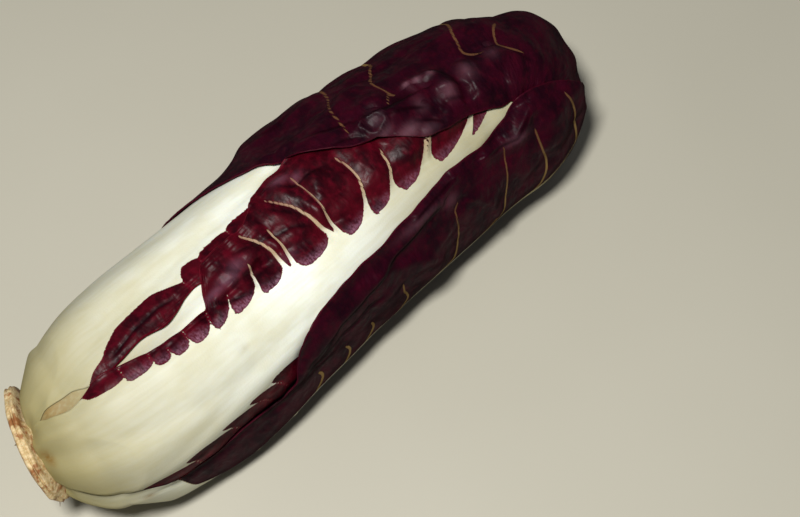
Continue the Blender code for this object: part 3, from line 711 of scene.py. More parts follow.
def top_leaf():
    """The leaf on top: a broad white rib between two fringes of red lobes."""
    return Leaf(
        2,
        "leaf_03_top",
        facing=36.5,
        end=80,
        rib=[(0.0, 0), (0.045, 0), (0.082, 2.5), (0.11, 6), (0.13, 8), (0.15, 5), (0.181, -5), (0.24, -12)],
        left=[
            (0.0, -31), (0.004, -32), (0.008, -27), (0.014, -24), (0.025, -29), (0.037, -25), (0.05, -22),
            (0.059, -22), (0.062, -30), (0.068, -40), (0.083, -42), (0.093, -51), (0.106, -58), (0.24, -62),
        ],
        right=[(0.0, 52), (0.018, 56), (0.04, 62), (0.08, 66), (0.24, 65)],
        rib_width=[(0.0, 34), (0.02, 36), (0.045, 32), (0.08, 24), (0.12, 15), (0.17, 8), (0.24, 5)],
        rib_width_right=[(0.0, 46), (0.02, 50), (0.045, 46), (0.08, 34), (0.12, 19), (0.17, 9), (0.24, 5)],
        cream_left=[
            (0.0, -34), (0.0175, -25), (0.0195, -21), (0.0235, -19), (0.029, -17), (0.035, -15.5),
            (0.0435, -12.5), (0.055, -10), (0.073, -8), (0.086, -5), (0.101, -2), (0.117, 0), (0.143, 1),
            (0.16, 0), (0.181, -9), (0.24, -14),
        ],
        cream_right=[
            (0.0, 90), (0.012, 62), (0.019, 44), (0.03, 38), (0.0375, 34), (0.055, 32), (0.064, 31),
            (0.08, 28), (0.1, 22), (0.13, 18), (0.181, 2), (0.24, -8),
        ],
        veins_left=Veins(
            [
                [(0.012, -18), (0.013, -30)],
                [(0.029, -15), (0.03, -28)],
                [(0.038, -13), (0.039, -27)],
                [(0.043, -11), (0.0435, -20)],
                [(0.049, -10), (0.05, -24)],
                [(0.056, -9), (0.0585, -22)],
                [(0.0625, -8), (0.065, -15), (0.067, -22)],
                [(0.073, -7), (0.076, -15), (0.077, -25)],
                [(0.0855, -5), (0.0858, -16), (0.085, -27), (0.081, -40)],
                [(0.0872, -5), (0.089, -18), (0.089, -34)],
                [(0.1034, -3), (0.102, -16), (0.1, -30), (0.095, -46)],
                [(0.1046, -3), (0.1056, -20), (0.106, -46)],
                [(0.115, 0), (0.1186, -13), (0.121, -25), (0.12, -38)],
                [(0.127, 2), (0.129, -9), (0.131, -17), (0.132, -26)],
                [(0.14, 3), (0.143, -7), (0.146, -16)],
                [(0.142, 3), (0.1448, -7), (0.148, -16)],
                [(0.155, 3), (0.163, -8), (0.166, -16)],
                [(0.17, -3), (0.177, -12)],
            ],
            cut=[
                (0.0, 0.002), (0.045, 0.0028), (0.06, 0.0045), (0.085, 0.0075), (0.15, 0.009),
                (0.24, 0.006),
            ],
            foot=[(0.0, 0.0002), (0.045, 0.0003), (0.06, 0.0006), (0.08, 0.0012), (0.24, 0.0015)],
            end=[(0.0, -0.001), (0.055, -0.0007), (0.072, 0.0002), (0.085, 0.00038), (0.24, 0.0004)],
            narrowing=0.004,
            bulge=0.0014,
        ),
        veins_right=Veins(
            [
                [(0.015, 42), (0.02, 55)],
                [(0.0285, 38), (0.034, 46), (0.036, 60)],
                [(0.04, 33), (0.0465, 42), (0.05, 60)],
                [(0.051, 33), (0.059, 45), (0.062, 60)],
                [(0.06, 32), (0.066, 42), (0.069, 60)],
                [(0.073, 30), (0.079, 42), (0.083, 60)],
                [(0.088, 25), (0.094, 40), (0.099, 60)],
                [(0.104, 20), (0.11, 35), (0.115, 60)],
                [(0.121, 18), (0.127, 35), (0.132, 60)],
                [(0.139, 12), (0.145, 35), (0.15, 60)],
            ],
            cut=0.006,
            foot=0.0004,
            end=-0.0006,
            narrowing=0.004,
            bulge=0.0004,
        ),
        tint_and_shade=[
            (0.0, 1.0), (0.01, 0.9), (0.02, 0.7), (0.04, 0.45), (0.06, 0.22), (0.085, 0.05), (0.105, 0.15),
            (0.125, 0.5), (0.145, 0.7), (0.24, 0.8),
        ],
        bloom=[
            (0.0, 0.0), (0.026, 0.0), (0.033, 0.5), (0.045, 0.7), (0.07, 0.9), (0.1, 1.0), (0.13, 0.5),
            (0.24, 0.3),
        ],
        bloom_right=0.0,
        stains=[
            (0.0034, 1, 0.0011, 0.0022, 0.75), (0.003, -3, 0.0014, 0.0018, 0.45),
            (0.06, 5, 0.0018, 0.001, 0.14),
        ],
        sheens=[
            (0.064, -24, 0.004, 0.0012, 0.5), (0.07, -25, 0.004, 0.0016, 0.5),
            (0.074, -27, 0.003, 0.002, 0.4), (0.103, -48, 0.003, 0.0018, 0.5),
            (0.107, -43, 0.002, 0.0016, 0.4), (0.088, -14, 0.003, 0.0016, 0.25),
        ],
        creases=[
            ([(0.058, -22), (0.061, -21), (0.066, -16), (0.073, -13)], 0.0007, 0.9),
            ([(0.073, -14), (0.078, -17), (0.083, -17)], 0.0007, 0.7),
            ([(0.08, -34), (0.087, -28), (0.095, -24), (0.101, -17)], 0.0007, 0.8),
            ([(0.092, -42), (0.097, -32), (0.101, -24)], 0.0006, 0.7),
            ([(0.099, -48), (0.104, -40), (0.116, -37)], 0.0007, 0.8),
            ([(0.076, -33), (0.084, -29), (0.091, -31)], 0.0006, 0.7),
        ],
        folds=[
            ([(0.078, -23), (0.067, -21.5), (0.0585, -21.5)], 0.0024, 0.0007, 0.004),
            ([(0.078, -14), (0.081, -17)], -0.003, 0.0022, 0.0022),
            ([(0.105, -22), (0.11, -35)], 0.0015, 0.003, 0.003),
        ],
        lift=0.0012,
        ripple=0.0006,
        fineness=FINEST,
    )


def back_rib_leaf():
    """The white rib at the back, with a red lobe that curls up beside the top leaf."""
    return Leaf(
        4,
        "leaf_05_back_rib",
        facing=-28.5,
        end=78,
        rib=[(0.0, -18), (0.04, -22), (0.24, -22)],
        left=[(0.0, -58), (0.02, -60), (0.05, -72), (0.1, -84), (0.24, -80)],
        right=[
            (0.0, 35), (0.004, 36), (0.008, 31.5), (0.016, 32), (0.021, 36), (0.025, 37.5), (0.032, 36),
            (0.04, 34), (0.049, 36), (0.058, 31.5), (0.062, 29), (0.07, 33), (0.08, 36), (0.12, 45),
            (0.24, 50),
        ],
        rib_width=[
            (0.0, 45), (0.016, 46), (0.025, 44), (0.035, 39), (0.06, 36), (0.1, 27), (0.13, 14), (0.24, 6),
        ],
        cream_right=[
            (0.0, 42), (0.019, 38.5), (0.0215, 35), (0.024, 31.5), (0.0285, 28.5), (0.032, 24),
            (0.0375, 19.5), (0.044, 18), (0.051, 17), (0.056, 19.5), (0.06, 21), (0.064, 16.5), (0.072, 16),
            (0.08, 14), (0.09, 13), (0.105, 9), (0.13, 0), (0.24, -12),
        ],
        veins_right=Veins(
            [
                [(0.018, 30), (0.018, 40)],
                [(0.0605, 15), (0.0605, 40)],
                [(0.0695, 15), (0.0695, 40)],
                [(0.081, 15), (0.083, 40)],
                [(0.096, 10), (0.1, 40)],
                [(0.112, 5), (0.118, 40)],
                [(0.13, 0), (0.136, 40)],
                [(0.15, -5), (0.158, 40)],
            ],
            cut=0.002,
            foot=0.0002,
            end=-0.0004,
            narrowing=0.001,
            bulge=0.0006,
        ),
        tint_and_shade=[
            (0.0, 1.0), (0.015, 0.85), (0.035, 0.6), (0.06, 0.36), (0.09, 0.14), (0.15, 0.0), (0.24, 0.0),
        ],
        bloom=0.0,
        creases=[([(0.03, 32), (0.041, 27.5), (0.05, 26.5), (0.0565, 29)], 0.0007, 0.8)],
        folds=[([(0.03, 33), (0.04, 29), (0.05, 28), (0.057, 29)], 0.0003, 0.0034, 0.0026)],
        lift=0.0008,
        stiff=0.005,
        fineness=FINEST,
    )


def inner_leaf(order):
    """A leaf on the spiral in which they grow, with a browned base: partly its own colour and partly painted
    shade of the hollow between the outer leaves, where it shows.
    """
    return Leaf(
        order,
        f"leaf_{order + 1:02d}_inner",
        facing=FIRST_ANGLE + GOLDEN_ANGLE * order,
        end=TURNED_OVER_TIP[order % len(TURNED_OVER_TIP)],
        stains=[(0.006, 0, 0.014, 0.03, 0.55)],
        fineness=MIDDLING if order <= LOOSE_FROM else COARSE,
    )


def make_leaves():
    """The leaves, outermost first. The ones that show have edges, veins and folds of their own."""
    underside = Leaf(3, "leaf_04_underside", facing=176, end=88, fineness=FINE)
    outer = [front_wrapper(), back_wrapper(), top_leaf(), underside, back_rib_leaf()]
    return outer + [inner_leaf(order) for order in range(len(outer), LEAF_COUNT)]


def lay_leaves(leaves, surface):
    """Lays the leaves from the heart outwards. Returns each one's underside, and the whole stack's reach."""
    stem = np.interp(surface.s, [0, STEM_TOP], [STEM_FOOT_RADIUS, STEM_TOP_RADIUS])
    heights = np.repeat(stem[:, None], MAP_COLUMNS, axis=1)
    undersides = {}
    for leaf in reversed(leaves):
        u, phi = leaf.from_map(surface.grid_s, surface.grid_theta)
        inside = leaf.inside_at(u, phi)
        settled = surface.settle(heights, BRIDGE)
        if leaf.stiff:
            settled = surface.smoothed(settled, leaf.stiff)
        close = surface.smoothed(heights, EDGE_SMOOTHING)
        bridged = (settled - close) * ease(0, CLING, inside)
        under = np.maximum(close + bridged + GAP + leaf.relief(u, phi), heights + GAP)
        if leaf.order >= LOOSE_FROM:
            outwards = (LEAF_COUNT - leaf.order) / (LEAF_COUNT - LOOSE_FROM)
            loose = HEART_REACH + (LOOSE_REACH - HEART_REACH) * outwards
            under = np.maximum(under, (surface.reach * loose)[:, None])
        undersides[leaf.node] = under
        cover = ease(-EDGE_SOFTNESS, EDGE_SOFTNESS, inside) * ((u >= leaf.start) & (u < leaf.end))
        heights = heights + cover * (under + leaf.thickness_at(u, phi) - heights)
    return undersides, heights


class Placing:
    """Turns a place in the stack into a point in the world.

    The stack is scaled to the body's outline. Peaks are pressed in to as far as they may stand out of it, and
    the underside is pressed flat where it meets the ground.
    """

    LINE_POINTS = 400
    STUB_SIDES = 48

    def __init__(self, surface, heights):
        self.surface = surface
        width = int(round(OUTLINE_SPREAD / MAP_STEP))
        padded = np.pad(surface.reach / heights.mean(axis=1), width, mode="edge")
        self.scale = np.convolve(padded, np.ones(2 * width + 1) / (2 * width + 1), mode="valid")
        self.line_s = np.linspace(HEADINGS[0][0], DOME_START, self.LINE_POINTS)
        self.heading = np.radians(smooth_line(HEADINGS, self.line_s))
        step = self.line_s[1] - self.line_s[0]
        self.line_x = np.cumsum(np.cos(self.heading)) * step
        self.line_y = np.cumsum(np.sin(self.heading)) * step
        outer = heights * self.scale[:, None]
        limit = surface.reach * smooth_line(STAND_OUT, surface.s)
        self.squeeze = np.minimum(1, limit[:, None] / surface.settle(outer, BRIDGE))
        down = -np.cos(surface.grid_theta) * np.cos(dome_angle(surface.grid_s)) * outer * self.squeeze
        sunk = LEAN * np.minimum(surface.grid_s, DOME_START)
        self.ground = (down + sunk).max() - REST_DEPTH
        self.squeeze *= np.minimum(1, (self.ground - sunk) / np.maximum(down, self.ground / 2))
        self.shift = np.zeros(3)
        self.shift = self.onto_cad_stub()

    def onto_cad_stub(self):
        """The move that puts the stub's cut face and middle where the CAD model has them."""
        theta = np.linspace(0, 2 * math.pi, self.STUB_SIDES, endpoint=False)
        s, reach = (np.repeat(np.array(STUB_PROFILE)[:, [i]], self.STUB_SIDES, axis=1) for i in (0, 1))
        own = self.place(s, np.broadcast_to(theta, s.shape), reach).reshape(-1, 3)
        low, high = (np.array(corner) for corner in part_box("stem"))
        across = (low[1] + high[1]) / 2 - (own[:, 1].min() + own[:, 1].max()) / 2
        return np.array([low[0] - own[:, 0].min(), across, 0.0])

    def points(self, s, theta, height):
        """The point at a height in the stack."""
        scale = np.interp(s, self.surface.s, self.scale)
        return self.place(s, theta, height * scale * self.surface.sample(self.squeeze, s, theta))

    def place(self, s, theta, reach):
        """The point at a true distance from the axis, or from the dome's centre."""
        psi = dome_angle(s)
        slant = SLANT * (1 - np.cos(theta - math.radians(SLANT_FACING)))
        along = np.minimum(s, DOME_START) + slant * (1 - ease(*SLANT_FADES, s))
        heading = np.interp(along, self.line_s, self.heading)
        forward = reach * np.sin(psi)
        side = -reach * np.cos(psi) * np.sin(theta)
        up = reach * np.cos(psi) * np.cos(theta)
        x = np.interp(along, self.line_s, self.line_x) + forward * np.cos(heading) - side * np.sin(heading)
        y = np.interp(along, self.line_s, self.line_y) + forward * np.sin(heading) + side * np.cos(heading)
        z = np.maximum(self.ground + up - LEAN * along, 0)
        return np.stack([x, y, z], axis=-1) + self.shift


# ---------------------------------------------------------------- meshes

# Distances that a mesh holds for its material are in millimetres.
MM = 1000
RIM = 0.0006
RIM_SHARE = 0.15
ROW_CROWDING, OUTSIDE_CROWDING, INSIDE_CROWDING = 0.5, 0.4, 0.15


def crowded(count, share):
    """Places from 0 to 1 that crowd towards both ends, down to a share of the even spacing."""
    even = np.linspace(0, 1, count)
    return even - (1 - share) * np.sin(2 * math.pi * even) / (2 * math.pi)


def make_object(name, points, faces, marks, material):
    """A mesh object with a number or a vector for each point under each mark's name."""
    mesh = bpy.data.meshes.new(name)
    mesh.from_pydata(points, [], faces)
    for mark, values in marks.items():
        vector = values.ndim == 2
        attribute = mesh.attributes.new(mark, "FLOAT_VECTOR" if vector else "FLOAT", "POINT")
        attribute.data.foreach_set("vector" if vector else "value", values.astype(np.float32).ravel())
    mesh.materials.append(material)
    mesh.shade_smooth()
    obj = bpy.data.objects.new(name, mesh)
    bpy.context.scene.collection.objects.link(obj)
    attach(obj, "root")
    return obj


def ring_faces(rings, count):
    """Quads between rings of count points, and a face over each end."""
    first = np.arange(rings - 1)[:, None] * count + np.arange(count)[None, :]
    after = np.roll(first, -1, axis=1)
    quads = np.stack([first, first + count, after + count, after], axis=-1).reshape(-1, 4)
    ends = [list(range(count)), list(range(rings * count - 1, (rings - 1) * count - 1, -1))]
    return quads.tolist() + ends


def make_leaf(leaf, surface, under, placing, material):
    """A leaf's mesh: each ring runs over its outside, round its edge and back inside."""
    rows, outside, inside = leaf.fineness
    u = leaf.start + (leaf.end - leaf.start) * crowded(rows, ROW_CROWDING)
    left, right = leaf.margins_at(u)
    share = np.concatenate([crowded(outside, OUTSIDE_CROWDING), crowded(inside, INSIDE_CROWDING)[::-1]])
    side = np.concatenate([np.ones(outside), -np.ones(inside)])
    phi = left[:, None] + (right - left)[:, None] * share
    stations = np.broadcast_to(u[:, None], phi.shape)
    s, theta = leaf.to_map(stations, phi)
    girth = leaf.girth_at(stations)
    edge = np.minimum(phi - left[:, None], right[:, None] - phi) * girth
    edge = np.minimum(edge, np.minimum(stations - leaf.start, leaf.end - stations))
    rim = np.sqrt(1 - (1 - np.clip(edge / RIM, 0, 1)) ** 2) * (1 - RIM_SHARE) + RIM_SHARE
    thickness = leaf.thickness_at(stations, phi)
    height = surface.sample(under, s, theta) + thickness * (1 + side * rim) / 2
    points = placing.points(s, theta, height).reshape(-1, 3)
    lobe, vein, bulge, out = leaf.marks(stations, phi)
    on_left = phi < leaf.rib_at(stations)
    bloom = np.where(on_left, smooth_line(leaf.bloom, stations), smooth_line(leaf.bloom_right, stations))
    marks = {
        "lobe": lobe * MM,
        "vein": vein * MM,
        "out": out * MM,
        "edge": edge * MM,
        "bloom": bloom,
        # The base's khaki: partly the rib's own colour and partly painted shade.
        "tint_and_shade": smooth_line(leaf.tint_and_shade, stations),
        # Brown spots; those at the inner leaves' bases are partly painted shade.
        "stain": leaf.spotted(leaf.stains, stations, phi),
        # Painted highlights, and the paler underside of turned-over flaps.
        "sheen": leaf.spotted(leaf.sheens, stations, phi),
        # The painted shade along the creases.
        "crease_shade": leaf.creased(stations, phi),
    }
    marks = {mark: values.ravel() for mark, values in marks.items()}
    sheet = np.stack([stations, phi * girth, np.full(phi.shape, 0.1 * leaf.order)], axis=-1)
    marks["sheet"] = sheet.reshape(-1, 3)
    obj = make_object(leaf.node + "_fine", points, ring_faces(rows, outside + inside), marks, material)
    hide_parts(leaf.node)


# ---------------------------------------------------------------- the root stub and stem

STUB_SIDES = 240
STUB_ROWS = 40
CUT_ROWS = 24
STEM_ROWS = 16
STUB_SWELL = 0.15
STUB_SWELL_FACING = -67.0
STUB_ROUGHNESS = 0.00050
STUB_RAGGEDNESS = 0.0006
CUT_RIDGE = 0.00025
CUT_DISH = 0.0006
# The stub darkens towards the ground between these heights: painted shade.
GROUND_SHADE_FROM = 0.022
GROUND_SHADE_BELOW = 0.015
GROUND_SHADE = 0.8
CROWN = [(0.0004, 0.0162), (0.0012, 0.0152), (0.0022, 0.014), (0.004, 0.0118)]

# Each rootlet's place on the stub, angle about it and length.
ROOTLETS = [
    (-0.003, 118, 0.003), (-0.0024, 124, 0.0018), (-0.0012, 131, 0.0022), (-0.0028, 152, 0.002),
    (-0.002, 205, 0.0024), (-0.0033, 262, 0.0016), (-0.0015, 318, 0.0018), (-0.003, 12, 0.001),
]
ROOTLET_SIDES = 8
ROOTLET_RINGS = 9
ROOTLET_RADIUS = 0.00022
ROOTLET_DEPTH = 0.0004
ROOTLET_OUT = 18.0
ROOTLET_DARKENING = 0.6


def stem_rings(placing):
    """The cut face, the stub's side and the stem inside, as (ring, 1 on the cut face, distance out)."""
    theta = np.arange(STUB_SIDES) * 2 * math.pi / STUB_SIDES
    level = np.ones(STUB_SIDES)
    bumps = Ripples(31, 0.0012, 0.0022)
    knobs = Ripples(32, 0.0030, 0.0060)
    swell = 1 + STUB_SWELL * (1 + np.cos(theta - math.radians(STUB_SWELL_FACING))) / 2
    (cut, cut_reach), (neck, neck_reach) = STUB_PROFILE[0], STUB_PROFILE[-1]
    around = theta * cut_reach
    rings = []
    for share in np.linspace(0.02, 1, CUT_ROWS):
        reach = cut_reach * share * swell
        ridge = CUT_RIDGE * bumps(reach * np.cos(theta), reach * np.sin(theta))
        dish = CUT_DISH * (1 - share**2)
        rings.append((placing.place(cut + dish + ridge * (1 - share**6), theta, reach), 1, reach))
    for s in np.linspace(cut, neck, STUB_ROWS)[1:]:
        rough = bumps(s, around) + 0.8 * knobs(s, around)
        groove = (smooth_line(STUB_PROFILE, s) - neck_reach) * (0.7 + 0.8 * knobs(0.1, around))
        reach = neck_reach * swell + groove + STUB_ROUGHNESS * rough
        ragged = STUB_RAGGEDNESS * (s - neck) / cut * knobs(0.2, around)
        rings.append((placing.place(s + ragged, theta, reach), 0, reach))
    for s, mean in CROWN:
        reach = mean + STUB_ROUGHNESS * knobs(s, around)
        rings.append((placing.place(level * s, theta, reach), 0, reach))
    for s in np.linspace(CROWN[-1][0], STEM_TOP, STEM_ROWS)[1:]:
        reach = level * np.interp(s, [0, STEM_TOP], [STEM_FOOT_RADIUS, STEM_TOP_RADIUS])
        rings.append((placing.points(level * s, theta, reach), 0, reach))
    return rings


def rootlet_rings(placing, s, angle, length):
    """A thin tapered rootlet that stands out from the stub and bends towards the ground."""
    turns = np.arange(ROOTLET_SIDES) * 2 * math.pi / ROOTLET_SIDES
    start = smooth_line(STUB_PROFILE, s) - ROOTLET_DEPTH
    rings = []
    for share in np.linspace(0, 1, ROOTLET_RINGS):
        radius = ROOTLET_RADIUS * (1 - 0.8 * share)
        bend = length * share**2
        along = s + radius * np.cos(turns) - 0.3 * bend
        around = math.radians(angle) + 0.25 * bend / start + radius * np.sin(turns) / start
        rings.append(placing.place(along, around, np.full(ROOTLET_SIDES, start + length * share)))
    return np.array(rings)


def make_stem(placing, material):
    """The stub with its cut face, its rootlets and the stem inside the leaves, in one mesh."""
    rings, cut, reach = (np.array(part) for part in zip(*stem_rings(placing)))
    points = [rings.reshape(-1, 3)]
    faces = ring_faces(len(rings), STUB_SIDES)
    # Painted shade darkens the stub towards the ground; the rootlets are darker all over.
    darkening = GROUND_SHADE * ease(GROUND_SHADE_FROM, GROUND_SHADE_BELOW, rings[..., 2])
    marks = {"cut": [np.repeat(cut, STUB_SIDES)], "out": [reach.ravel() * MM], "darkening": [darkening.ravel()]}
    for s, angle, length in ROOTLETS:
        root = rootlet_rings(placing, s, angle, length)
        offset = sum(len(block) for block in points)
        faces += [[i + offset for i in face] for face in ring_faces(len(root), ROOTLET_SIDES)]
        points.append(root.reshape(-1, 3))
        for mark, value in [("cut", 0), ("out", ROOTLET_OUT), ("darkening", ROOTLET_DARKENING)]:
            marks[mark].append(np.full(len(points[-1]), value))
    marks = {mark: np.concatenate(values) for mark, values in marks.items()}
    obj = make_object("stem_fine", np.concatenate(points), faces, marks, material)
    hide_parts("stem")


# ---------------------------------------------------------------- materials


def srgb(red, green, blue):
    """A linear colour for one given on the usual scale of 0 to 255."""
    values = [channel / 255 for channel in (red, green, blue)]
    return [v / 12.92 if v <= 0.04045 else ((v + 0.055) / 1.055) ** 2.4 for v in values] + [1.0]


class Finish:
    """A material under construction: each method adds a node and returns its output."""

    def __init__(self, name, **sockets):
        self.material = bpy.data.materials.new(name)
        self.material.use_nodes = True
        self.nodes = self.material.node_tree.nodes
        self.shader = self.nodes["Principled BSDF"]
        self.surface(**sockets)

    def put(self, socket, value):
        """Gives a socket a node's output, or a value of its own."""
        if isinstance(value, bpy.types.NodeSocket):
            self.material.node_tree.links.new(value, socket)
        else:
            socket.default_value = value

    def surface(self, **sockets):
        """Gives the shader's sockets their values. A space in a socket's name is _ here."""
        for socket, value in sockets.items():
            self.put(self.shader.inputs[socket.replace("_", " ")], value)

    def add(self, kind, output, inputs=None, **settings):
        """A new node of a kind, with its settings and inputs given."""
        node = self.nodes.new("ShaderNode" + kind)
        for setting, value in settings.items():
            setattr(node, setting, value)
        for socket, value in (inputs or {}).items():
            self.put(node.inputs[socket], value)
        return node.outputs[output]

    def mark(self, name, output="Fac"):
        """What the mesh holds at each point under a mark's name."""
        return self.add("Attribute", output, attribute_name=name)

    def glancing(self):
        """From 0 where the surface faces the viewer to 1 where it turns away."""
        return self.add("LayerWeight", "Facing")

    def place(self):
        return self.add("TexCoord", "Object")

    def stretch(self, vector, x, y, z):
        return self.add("Mapping", "Vector", {"Vector": vector, "Scale": (x, y, z)})

    def noise(self, vector, scale, detail=2.0, roughness=0.5, warp=0.0):
        inputs = {"Vector": vector, "Scale": scale, "Detail": detail, "Roughness": roughness}
        return self.add("TexNoise", "Fac", inputs | {"Distortion": warp})

    def cells(self, vector, scale):
        """The distance from the nearest wall of a net of cells."""
        inputs = {"Vector": vector, "Scale": scale}
        return self.add("TexVoronoi", "Distance", inputs, feature="DISTANCE_TO_EDGE")

    def sum(self, kind, *values):
        """A sum of a given kind, such as MULTIPLY_ADD, on one to three values."""
        return self.add("Math", 0, dict(enumerate(values)), operation=kind)

    def between(self, value, low, high, to_low=0.0, to_high=1.0):
        """Eases from one number to another as the value goes from low to high."""
        inputs = {"Value": value, "From Min": low, "From Max": high, "To Min": to_low, "To Max": to_high}
        return self.add("MapRange", "Result", inputs, interpolation_type="SMOOTHSTEP")

    def mix(self, share, first, second):
        """A colour the share of the way from the first to the second."""
        return self.add("Mix", 2, {0: share, 6: first, 7: second}, data_type="RGBA")

    def mix_numbers(self, share, first, second):
        return self.add("Mix", 0, {0: share, 2: first, 3: second})

    def bump(self, height, distance):
        return self.add("Bump", "Normal", {"Height": height, "Distance": distance})


CREAM = srgb(238, 243, 234)
CREAM_SHADE = srgb(214, 213, 186)
# Khaki towards the ribs' bases, also darkened to paint the shade near the stub.
BASE_TINT_AND_SHADE = srgb(142, 132, 86)
# Brown of the spots, also used as painted shade at the inner leaves' bases.
STAIN_AND_SHADE = srgb(126, 94, 42)
# The dark of the painted shade along the blade's creases.
CREASE_SHADE = srgb(14, 1, 5)


def flesh_colour(leaf, sheet, clouds, fibres, vein_tint, tint_from, blade_light):
    """Cream flesh with long fibres, browner towards the base, in the veins' outer parts and at its spots. The
    browning towards the base, and the inner leaves' spots, are partly painted shade.
    """
    out = leaf.mark("out")
    flesh = leaf.mix(leaf.between(fibres, 0.30, 0.75, 0.0, 0.35), CREAM, CREAM_SHADE)
    flesh = leaf.mix(leaf.between(clouds, 0.35, 0.75, 0.0, 0.7), flesh, CREAM_SHADE)
    # Khaki towards the base: partly the rib's own colour and partly painted shade.
    flesh = leaf.mix(leaf.mark("tint_and_shade"), flesh, BASE_TINT_AND_SHADE)
    flesh = leaf.mix(leaf.between(out, *tint_from), flesh, vein_tint)
    flesh = leaf.mix(leaf.between(out, 8.0, 26.0, 0.0, 0.65), flesh, blade_light)
    spots = leaf.between(leaf.noise(sheet, 900, 2), 0.2, 0.6, 0.5, 1.3)
    # Brown spots, partly painted shade at the inner leaves' bases.
    return leaf.mix(leaf.sum("MULTIPLY", leaf.mark("stain"), spots), flesh, STAIN_AND_SHADE)


def skin_colour(leaf, sheet, frayed, blade, blade_light, blade_shade, bloom):
    """Coloured blade: patchy, lighter at its edges, with a bloom where lobes start, painted highlights and
    pale flaps in the bloom's colour, and painted shade along its creases.
    """
    patches = leaf.noise(leaf.stretch(sheet, 1, 0.6, 1), 130, 3, 0.6)
    streaks = leaf.noise(leaf.stretch(sheet, 1, 0.6, 1), 1500, 3, 0.7)
    skin = leaf.mix(leaf.between(patches, 0.35, 0.65), blade_shade, blade)
    skin = leaf.mix(leaf.between(leaf.noise(sheet, 420, 3), 0.45, 0.75, 0.0, 0.4), skin, blade_light)
    skin = leaf.mix(leaf.between(leaf.mark("edge"), 0.6, 0.1, 0.0, 0.5), skin, blade_light)
    skin = leaf.mix(leaf.between(frayed, 0.9, 0.1, 0.0, 0.6), skin, blade_light)
    dusted = leaf.between(leaf.sum("MULTIPLY_ADD", patches, -5, leaf.mark("out")), 1.8, -3.0)
    dusted = leaf.sum("MULTIPLY", dusted, leaf.between(streaks, 0.36, 0.64, 0.15, 1.0))
    dusted = leaf.sum("MULTIPLY", dusted, leaf.mark("bloom"))
    dusted = leaf.sum("MULTIPLY", dusted, leaf.between(frayed, 0.1, 0.9, 0.35, 1.0))
    # Spots in the bloom's colour: painted highlights, and the paler underside of turned-over flaps.
    sheen = leaf.sum("MULTIPLY", leaf.mark("sheen"), leaf.between(patches, 0.3, 0.6, 0.5, 1.0))
    dusted = leaf.sum("MAXIMUM", dusted, leaf.sum("MULTIPLY", sheen, 0.6))
    # Painted shade darkens the blade along its creases.
    return leaf.mix(leaf.mark("crease_shade"), leaf.mix(dusted, skin, bloom), CREASE_SHADE)


def leaf_roughness(leaf, sheet, clouds, coloured, blade_roughness):
    """The blade is glossier than the flesh, and both are duller where they turn away."""
    flesh = leaf.between(clouds, 0.3, 0.7, 0.50, 0.60)
    blade = leaf.between(leaf.noise(sheet, 160, 3), 0.3, 0.7, blade_roughness - 0.05, blade_roughness + 0.08)
    turned_away = leaf.between(leaf.glancing(), 0.45, 0.85, 0.0, 0.55)
    return leaf.sum("ADD", leaf.mix_numbers(coloured, flesh, blade), turned_away)


def leaf_relief(leaf, sheet, fibres, coloured):
    """Crumples and a net of fine veins in the blade, fibres in the flesh, and a grain over both."""
    net = leaf.between(leaf.cells(leaf.stretch(sheet, 1, 0.7, 1), 300), 0.0, 0.30)
    crumple = leaf.noise(leaf.stretch(sheet, 1, 0.55, 1), 210, 2, 0.5, 0.5)
    relief = leaf.sum("MULTIPLY", leaf.noise(sheet, 1500, 2), 0.18)
    relief = leaf.sum("MULTIPLY_ADD", leaf.sum("MULTIPLY", crumple, coloured), 3.0, relief)
    relief = leaf.sum("MULTIPLY_ADD", leaf.sum("MULTIPLY", net, coloured), 0.30, relief)
    return leaf.sum("MULTIPLY_ADD", fibres, 0.12, relief)


def leaf_finish(name, vein_tint, tint_from, blade, blade_light, blade_shade, bloom, blade_roughness, shine):
    """Fresh leaf: a fleshy pale rib, veins, and lobes of thin coloured blade with frayed edges."""
    leaf = Finish(name, Subsurface_Weight=0.12, Subsurface_Scale=0.004, IOR=1.27)
    leaf.surface(Subsurface_Radius=(1.0, 0.7, 0.35), Specular_IOR_Level=shine)
    sheet = leaf.mark("sheet", "Vector")
    fray = leaf.noise(leaf.stretch(sheet, 1, 1.6, 1), 900, 3)
    frayed = leaf.sum("MULTIPLY_ADD", leaf.sum("SUBTRACT", fray, 0.5), 1.4, leaf.mark("lobe"))
    clear_of_veins = leaf.between(leaf.mark("vein"), 0.06, -0.08)
    coloured = leaf.sum("MULTIPLY", leaf.between(frayed, -0.10, 0.14), clear_of_veins)
    fibres = leaf.noise(leaf.stretch(sheet, 0.10, 1, 1), 700, 2)
    clouds = leaf.noise(leaf.stretch(sheet, 0.5, 1, 1), 110, 3)
    flesh = flesh_colour(leaf, sheet, clouds, fibres, vein_tint, tint_from, blade_light)
    skin = skin_colour(leaf, sheet, frayed, blade, blade_light, blade_shade, bloom)
    leaf.surface(Base_Color=leaf.mix(coloured, flesh, skin))
    leaf.surface(Roughness=leaf_roughness(leaf, sheet, clouds, coloured, blade_roughness))
    leaf.surface(Normal=leaf.bump(leaf_relief(leaf, sheet, fibres, coloured), 0.00022))
    return leaf.material


